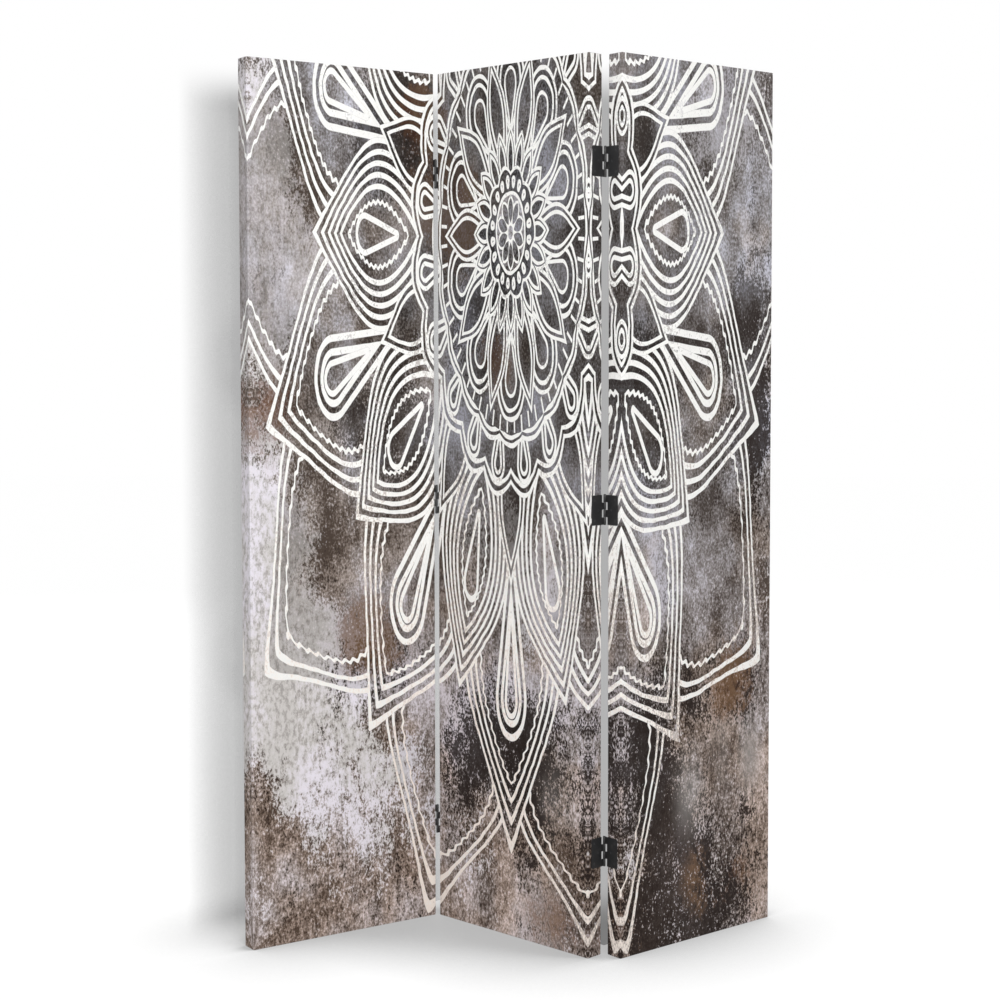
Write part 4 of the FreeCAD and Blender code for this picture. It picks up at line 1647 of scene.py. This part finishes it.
    def build(self, printed: bpy.types.Material, raw: bpy.types.Material) -> bpy.types.Object:
        """Make the cloth and hang it on its panel.

        Args:
            printed: The outer face's finish.
            raw: The reverse's and the cut edges'.

        Returns:
            The finished piece.
        """
        grids = [self.front()]
        grids += [self.over_side(side) for side in Side]
        grids += [self.over_end(end) for end in End]
        grids += [self.folded_corner(side, end) for side in Side for end in End]
        for grid in grids:
            grid.points = self.panel.stand(grid.points)
        name, sizes = self.panel.name, self.panel.sizes
        cloth = build_piece(f"{name}_canvas", grids, [printed, raw], "Print")
        wall = cloth.modifiers.new("cloth_thickness", "SOLIDIFY")
        wall.thickness = sizes.cloth
        wall.offset = -1.0
        wall.use_even_offset = True
        wall.material_offset = wall.material_offset_rim = 1
        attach(cloth, self.panel.body)
        nodes = ["face", *(f"{place}_turnover" for place in ("left", "right", "bottom", "top"))]
        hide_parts(*(f"{name}_canvas_{node}" for node in nodes))
        past = 2 * (sizes.depth + sizes.turnover)
        sizes.width + past
        sizes.height + past
        LOG.info("%s: %d faces", cloth.name, len(cloth.data.polygons))
        return cloth


@dataclass
class StretcherFrame:
    """The pine bars of one panel.

    Attributes:
        panel: The panel that they stretch.
        soft_edge: How wide their rounded edges are.
        timber: How much further up the timber the next panel's bars were cut, by its place
            on the print, so that no two panels have the same knots.
    """

    panel: Panel
    soft_edge: float = 0.6 * MM
    timber: float = -1.7

    def build(self) -> None:
        """Dress the upright bars and the level ones, each along its own grain."""
        bars = {Grain.UPRIGHT: ("left_stile", "right_stile"),
                Grain.ACROSS: ("bottom_rail", "top_rail", "lower_brace", "upper_brace")}
        place = (*self.panel.centre().tolist(), self.panel.print_left * self.timber)
        for grain, names in bars.items():
            pine = Pine(self.panel.name, place, self.panel.turn, grain).make()
            for name in names:
                dress(f"{self.panel.name}_{name}", pine, self.soft_edge)


@dataclass
class HingeScrews:
    """The cross-headed screws in one panel's hinge leaves.

    Attributes:
        panel: The panel that they are in.
        length: A screw's length.
        tip: The length of its point.
        shank: Its radius.
        head: Its head's radius.
        dome: How far the head's middle stands over its rim.
        rings: The radii of the rings of points on the head's face.
        recess: How deep the cross is.
        arm: Half an arm's width at its top, and the width of its sloping wall.
        arm_end: The same along the arm.
        near: How far the middle screw of a leaf is from the pins.
        far: How far the other two are.
        spread: How far apart those two are.
        turns: How much more each recess is turned than the last in its leaf, and in the leaf
            below.
        steps: How many points go round a screw.
    """

    panel: Panel
    length: float = 16 * MM
    tip: float = 4 * MM
    shank: float = 1.5 * MM
    head: float = 2.5 * MM
    dome: float = 0.25 * MM
    rings: tuple[float, ...] = (0.0, 0.2, 0.35, 0.5, 0.7, 0.9, 1.1, 1.3, 1.5, 1.7, 2.0, 2.3, 2.5)
    recess: float = 1.1 * MM
    arm: tuple[float, float] = (0.42 * MM, 0.16 * MM)
    arm_end: tuple[float, float] = (1.55 * MM, 0.45 * MM)
    near: float = 15 * MM
    far: float = 24 * MM
    spread: float = 34 * MM
    turns: tuple[float, float] = (0.7, 1.9)
    steps: int = 48

    def face(self) -> np.ndarray:
        """The head's face: a low dome less a cross-shaped recess, on rings of points.

        The dome falls with the square of the radius. The recess is as deep as the larger of
        two bars, each a smooth function of how far a point lies beside and along the bar.

        Returns:
            Points by ring and angle.
        """
        angle = np.linspace(0, 2 * np.pi, self.steps + 1)
        away, angle = np.meshgrid(np.array(self.rings) * MM, angle, indexing="ij")
        across, along = away * np.cos(angle), away * np.sin(angle)
        (half, wall), (reach, end) = self.arm, self.arm_end
        arms = [smooth((half - np.abs(beside)) / wall) * smooth((reach - np.abs(out)) / end)
                for beside, out in ((across, along), (along, across))]
        rise = self.dome * (1 - (away / self.head) ** 2) - self.recess * np.maximum(*arms)
        return np.stack([rise, across, along], -1)

    def screw(self, turn: float) -> list[np.ndarray]:
        """One screw along X, its head's rim at the origin, pointing to -X.

        Args:
            turn: How far its recess is turned.

        Returns:
            The points of its face, and of its cone, shank and tip.
        """
        cone = self.head - self.shank
        shaft = np.array([[0, self.head], [-cone, self.shank], [self.tip - self.length, self.shank],
                          [-self.length, 0.0]])
        cos, sin = math.cos(turn), math.sin(turn)
        spin = np.array([[1, 0, 0], [0, cos, sin], [0, -sin, cos]])
        return [points @ spin for points in (self.face(), revolve(shaft, self.steps))]

    def places(self, side: Side, line: HingeLine) -> list[tuple[np.ndarray, float]]:
        """Where the screws of one edge's leaves stand.

        Args:
            side: The panel's edge.
            line: Where that edge's pins stand.

        Returns:
            Each screw's place in the panel's own directions, and how far it is turned.
        """
        sizes = self.panel.sizes
        x = side.value * (sizes.width / 2 + sizes.leaf)
        travel = (sizes.height - 2 * sizes.hinge_end) / 2
        triangle = ((self.far, -self.spread / 2), (self.near, 0.0), (self.far, self.spread / 2))
        by_number, by_level = self.turns
        return [(np.array([x, line.inward(sizes, reach),
                           sizes.hinge_end + level.value * travel + rise]),
                 by_number * number + by_level * level.value + side.value)
                for level in Level for number, (reach, rise) in enumerate(triangle)]

    def build(self, finish: bpy.types.Material) -> bpy.types.Object:
        """Set every screw of the panel in one piece.

        Args:
            finish: The screws' finish.

        Returns:
            The finished piece.
        """
        grids = []
        for side, fold in self.panel.folds.items():
            for place, turn in self.places(side, LINES[fold]):
                for points in self.screw(turn):
                    points = self.panel.stand(points * np.array([side.value, 1, 1]) + place)
                    no_prints = np.zeros((*points.shape[:2], 2))
                    grids.append(Grid(points, no_prints, side is Side.RIGHT))
        screws = build_piece(f"{self.panel.name}_cross_head_screws", grids, [finish], sharp=SHARP)
        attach(screws, self.panel.body)
        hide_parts(f"{self.panel.name}_hinge_screws")
        LOG.info("%s: %d faces", screws.name, len(screws.data.polygons))
        return screws


@dataclass
class HingeSet:
    """The three hinges of one fold: leaves and loose pins."""

    fold: Fold
    soft_edge: float = 0.2 * MM

    def build(self, coat: bpy.types.Material, pin: bpy.types.Material) -> None:
        """Dress the leaves with one finish and the pins with another.

        Args:
            coat: The leaves' finish.
            pin: The pins'.
        """
        for level in Level:
            name = f"{self.fold.value}_{level.name.lower()}_hinge"
            dress(f"{name}_middle_leaf", coat, self.soft_edge)
            dress(f"{name}_outer_leaf", coat, self.soft_edge)
            dress(f"{name}_pin", pin)


# The studio

SHADE_GAIN = 1.5  # how fast a shadow deepens with what closes the space above it
DEEPEST_SHADE = 0.57  # how much light the deepest shadow takes
SHADE_SAMPLES = 16


def shade(bench: Bench, reach: float, towards: Wire) -> Wire:
    """How much painted shade the screen puts on a point, down to a deepest grey.

    It grows with the share of the half-space on one side that is filled within a reach.

    Args:
        bench: Where to work it out.
        reach: How far off something still counts.
        towards: Which side counts.

    Returns:
        The share of the light that is gone.
    """
    clear = bench.get("AmbientOcclusion", {"Distance": reach, "Normal": towards}, "AO",
                      samples=SHADE_SAMPLES)
    return bench.maths("MINIMUM", (1.0 - clear) * SHADE_GAIN, DEEPEST_SHADE)


@dataclass(frozen=True)
class Paper:
    """Matt white paper that keeps the screen's shadow and is lifted to white elsewhere.

    Light that bounces off it takes the plain paper's colour. The lift falls with how
    closed the space above a point is, on the side that the light is on: a painted shadow
    round the screen's foot, over the paper's own faint real one.

    Attributes:
        plain: How pale the paper is to light that bounces off it.
        shown: How pale it is where the camera sees it, without the lift.
        lift: How strong the lift is in the open.
        reach: How far off the screen still shades a point.
        light: The side that the light is on.
    """

    plain: float = 0.70
    shown: float = 0.12
    lift: float = 0.95
    reach: float = 0.32
    light: tuple[float, float, float] = (0.30, -0.22, 0.93)

    def make(self) -> bpy.types.Material:
        """Build the material.

        Returns:
            The paper.
        """
        surface = Surface("floor")
        seen = surface.get("LightPath", key="Is Camera Ray")
        pale = self.plain + seen * (self.shown - self.plain)
        # Painted shade: the lift is taken out where the screen closes in the space on the light's side.
        open_share = 1.0 - shade(surface, self.reach, surface.vector(*self.light))
        matt = surface.get("BsdfDiffuse", {"Color": surface.grey(pale)})
        glow = surface.get("Emission", {"Strength": open_share * seen * self.lift})
        return surface.show(surface.get("AddShader", {0: matt, 1: glow}))


@dataclass(frozen=True)
class Veil:
    """A clear sheet that holds a painted copy of the screen's soft shadow, and nothing else.

    Only the camera sees it, and only from in front. It darkens what lies behind it by
    the share of the light's side that the screen fills, down to a deepest grey. It is
    there in a narrow strip at each gap, where that side is the panels' own, and past the
    left end, where it is the right. It runs out under the panels' tops and, past the
    end, just over the floor.

    Attributes:
        reach: How far off the screen still shades a point.
        gaps: The X of the two strips' middles.
        strip: How far from a strip's middle it is gone, and how near it is whole.
        past: The X where the part past the end begins, and where it is whole.
        foot: The heights at which that part begins and is whole.
        top: The heights at which all of it is gone and whole.
        gap_light: The side that the light is on at the gaps.
        past_light: The side that it is on past the end.
    """

    reach: float = 0.10
    gaps: tuple[float, float] = (-0.145, 0.161)
    strip: tuple[float, float] = (0.050, 0.030)
    past: tuple[float, float] = (-0.40, -0.44)
    foot: tuple[float, float] = (0.0, 0.05)
    top: tuple[float, float] = (1.50, 1.42)
    gap_light: tuple[float, float, float] = (0.0, -1.0, 0.25)
    past_light: tuple[float, float, float] = (0.98, -0.15, 0.25)

    def make(self) -> bpy.types.Material:
        """Build the material.

        Returns:
            The veil.
        """
        # Named wall, but it is no wall: a clear sheet that paints the screen's shadow over what shows
        # behind it.
        surface = Surface("wall")
        across, _, rise = surface.parts(surface.place())
        front = 1.0 - surface.get("NewGeometry", key="Backfacing")
        shows = surface.get("LightPath", key="Is Camera Ray") * front
        past = surface.step(across, *self.past)
        low, high = self.gaps
        gaps = surface.step(abs(abs(across - (low + high) / 2) - (high - low) / 2), *self.strip)
        towards = surface.vector(*(past * (there - here) + here
                                   for here, there in zip(self.gap_light, self.past_light)))
        kept = (gaps + past * surface.step(rise, *self.foot)) * surface.step(rise, *self.top)
        light = 1.0 - shade(surface, self.reach, towards) * shows * kept
        return surface.show(surface.get("BsdfTransparent", {"Color": surface.grey(light)}))


@dataclass(frozen=True)
class Lamp:
    """A square soft lamp: its name, place, width and power in watts."""

    name: str
    place: tuple[float, float, float]
    size: float
    watts: float

    def hang(self, aim: Vector) -> None:
        """Hang the lamp.

        Args:
            aim: The point that it faces.
        """
        data = bpy.data.lights.new(self.name, "AREA")
        data.shape, data.size, data.energy = "SQUARE", self.size, self.watts
        lamp = bpy.data.objects.new(self.name, data)
        lamp.location = self.place
        lamp.rotation_euler = (aim - lamp.location).to_track_quat("-Z", "Y").to_euler()
        bpy.context.scene.collection.objects.link(lamp)


@dataclass
class Studio:
    """A pale floor, the screen's painted shadow on the air behind it, soft light and the camera.

    Attributes:
        lens: The camera's focal length in millimetres.
        sensor: The width of its sensor in millimetres.
        shift: Its shift across and up.
        clip: The nearest and farthest things that it sees.
        eye: Where it stands.
        yaw: How far it is turned to the left.
        pitch: How far it looks up.
        aim: What the lamps face.
        lamps: The lamps.
        sky: How bright the sky is to all but the camera and what mirrors it.
        floor: How far the floor reaches each way.
        veil_gap: How far the veil stands behind the panels.
        veil_past: How far it runs on past the left end.
        veil_height: How tall it is.
    """

    lens: float = 67.79
    sensor: float = 36.0
    shift: tuple[float, float] = (-0.05, -0.05)
    clip: tuple[float, float] = (0.05, 60.0)
    eye: tuple[float, float, float] = (0.144, -3.230, 1.014)
    yaw: float = math.radians(1.401)
    pitch: float = math.radians(-3.017)
    aim: tuple[float, float, float] = (0.0, 0.0, 0.75)
    lamps: tuple[Lamp, ...] = (
        Lamp("key", (0.85, -3.1, 2.1), 1.0, 69.0),
        Lamp("fill", (-1.4, -3.1, 1.7), 1.4, 27.0),
        Lamp("back", (-0.6, 3.8, 2.4), 2.4, 70.0),
    )
    sky: float = 0.39
    floor: float = 12.0
    veil_gap: float = 0.04
    veil_past: float = 0.22
    veil_height: float = 1.65

    def camera(self) -> bpy.types.Object:
        """Stand the camera where the photograph was taken from.

        Returns:
            The camera.
        """
        data = bpy.data.cameras.new("camera")
        data.lens, data.sensor_width = self.lens, self.sensor
        data.shift_x, data.shift_y = self.shift
        data.clip_start, data.clip_end = self.clip
        camera = bpy.data.objects.new("camera", data)
        camera.location = self.eye
        camera.rotation_euler = (math.pi / 2 + self.pitch, 0.0, self.yaw)
        bpy.context.scene.collection.objects.link(camera)
        bpy.context.scene.camera = camera
        return camera

    def world(self) -> None:
        """An even white sky over the floor, which also shows as plain white behind the screen."""
        world = bpy.data.worlds.new("studio")
        bench = Bench(emptied(world))
        bpy.context.scene.world = world
        rays = bench.put("LightPath")
        seen = bench.maths("MAXIMUM", bench.out(rays, "Is Camera Ray"),
                           bench.out(rays, "Is Glossy Ray"))
        seen = bench.maths("MAXIMUM", seen, bench.out(rays, "Is Transmission Ray"))
        _, _, height = bench.parts(bench.get("TexCoord", key="Generated"))
        light = bench.maths("GREATER_THAN", height, 0.0) * self.sky
        sky = bench.get("Background", {"Color": (1, 1, 1, 1),
                                       "Strength": light + seen * (1.0 - light)})
        bench.put("OutputWorld", {"Surface": sky})

    def behind(self, panels: list[Panel]) -> np.ndarray:
        """Where the veil's foot runs: beside each panel's back, and on past the left end.

        Two neighbours' lines end where they meet, which two equations in the ways along
        them give.

        Args:
            panels: The panels, from the left.

        Returns:
            The points of its foot in plan.
        """
        sizes = panels[0].sizes
        away = np.array([0.0, sizes.depth / 2 + self.veil_gap])
        lines = [(panel.centre() + panel.turned(away), panel.turned(np.array([1.0, 0.0])))
                 for panel in panels]
        points = [lines[0][0] - lines[0][1] * (sizes.width / 2 + self.veil_past)]
        for (here, way), (there, other) in zip(lines, lines[1:]):
            run, _ = np.linalg.solve(np.column_stack([way, -other]), there - here)
            points.append(here + way * run)
        points.append(lines[-1][0] + lines[-1][1] * sizes.width / 2)
        return np.array(points)

    def sheet(self, name: str, foot: np.ndarray, head: np.ndarray,
              material: bpy.types.Material) -> bpy.types.Object:
        """One sheet of the studio between two rows of points.

        Args:
            name: The sheet's name.
            foot: Its lower or nearer row.
            head: Its upper or farther row.
            material: Its material.

        Returns:
            The sheet, which stops no light on its way to or from the screen.
        """
        points = np.stack([foot, head])
        sheet = build_piece(name, [Grid(points, np.zeros((*points.shape[:2], 2)))], [material])
        sheet.visible_shadow = False
        return sheet

    def build(self, panels: list[Panel]) -> None:
        """Set up everything round the screen.

        Args:
            panels: The panels, from the left.
        """
        bpy.context.scene.view_settings.view_transform = "Standard"
        self.world()
        edge = np.array([[-self.floor, -self.floor, 0.0], [self.floor, -self.floor, 0.0]])
        self.sheet("floor", edge, edge * np.array([1, -1, 1]), Paper().make())
        foot = np.pad(self.behind(panels), ((0, 0), (0, 1)))
        # The sheet named wall is no wall: it is the veil, which paints the screen's shadow over what lies
        # behind it.
        self.sheet("wall", foot, foot + np.array([0.0, 0.0, self.veil_height]), Veil().make())
        for lamp in self.lamps:
            lamp.hang(Vector(self.aim))
        self.camera()
        LOG.info("studio: %d lamps", len(self.lamps))


def main() -> None:
    """Build the screen piece by piece, and then its surroundings."""
    logging.basicConfig(level=logging.INFO, format="%(name)s %(message)s")
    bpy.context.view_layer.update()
    printed, raw = PrintedCanvas().make(), RawCanvas().make()
    screw = PaintedSteel("screw_black", colour=srgb(46, 46, 47), rubbed=srgb(120, 120, 121),
                         roughness=0.36, amount=0.8).make()
    leaf = PaintedSteel("hinge_black").make()
    pin = PaintedSteel("pin_black", colour=srgb(36, 36, 38), rubbed=srgb(130, 130, 131),
                       roughness=0.32, amount=0.7).make()
    wire = BrightWire().make()
    width = PanelSizes().width
    panels = [
        Panel("left", turn=math.radians(36), print_left=0.0, folds={Side.RIGHT: Fold.VALLEY}),
        Panel("middle", turn=math.radians(-42), print_left=width,
              folds={Side.LEFT: Fold.VALLEY, Side.RIGHT: Fold.RIDGE}),
        Panel("right", turn=math.radians(42), print_left=2 * width, folds={Side.LEFT: Fold.RIDGE}),
    ]
    for panel in panels:
        LOG.info("%s panel stands at %s", panel.name, np.round(panel.centre(), 5))
        CanvasWrap(panel).build(printed, raw)
        StretcherFrame(panel).build()
        HingeScrews(panel).build(screw)
        dress(f"{panel.name}_staples", wire)
    for fold in Fold:
        HingeSet(fold).build(leaf, pin)
    Studio().build(panels)


if __name__ == "__main__":
    main()
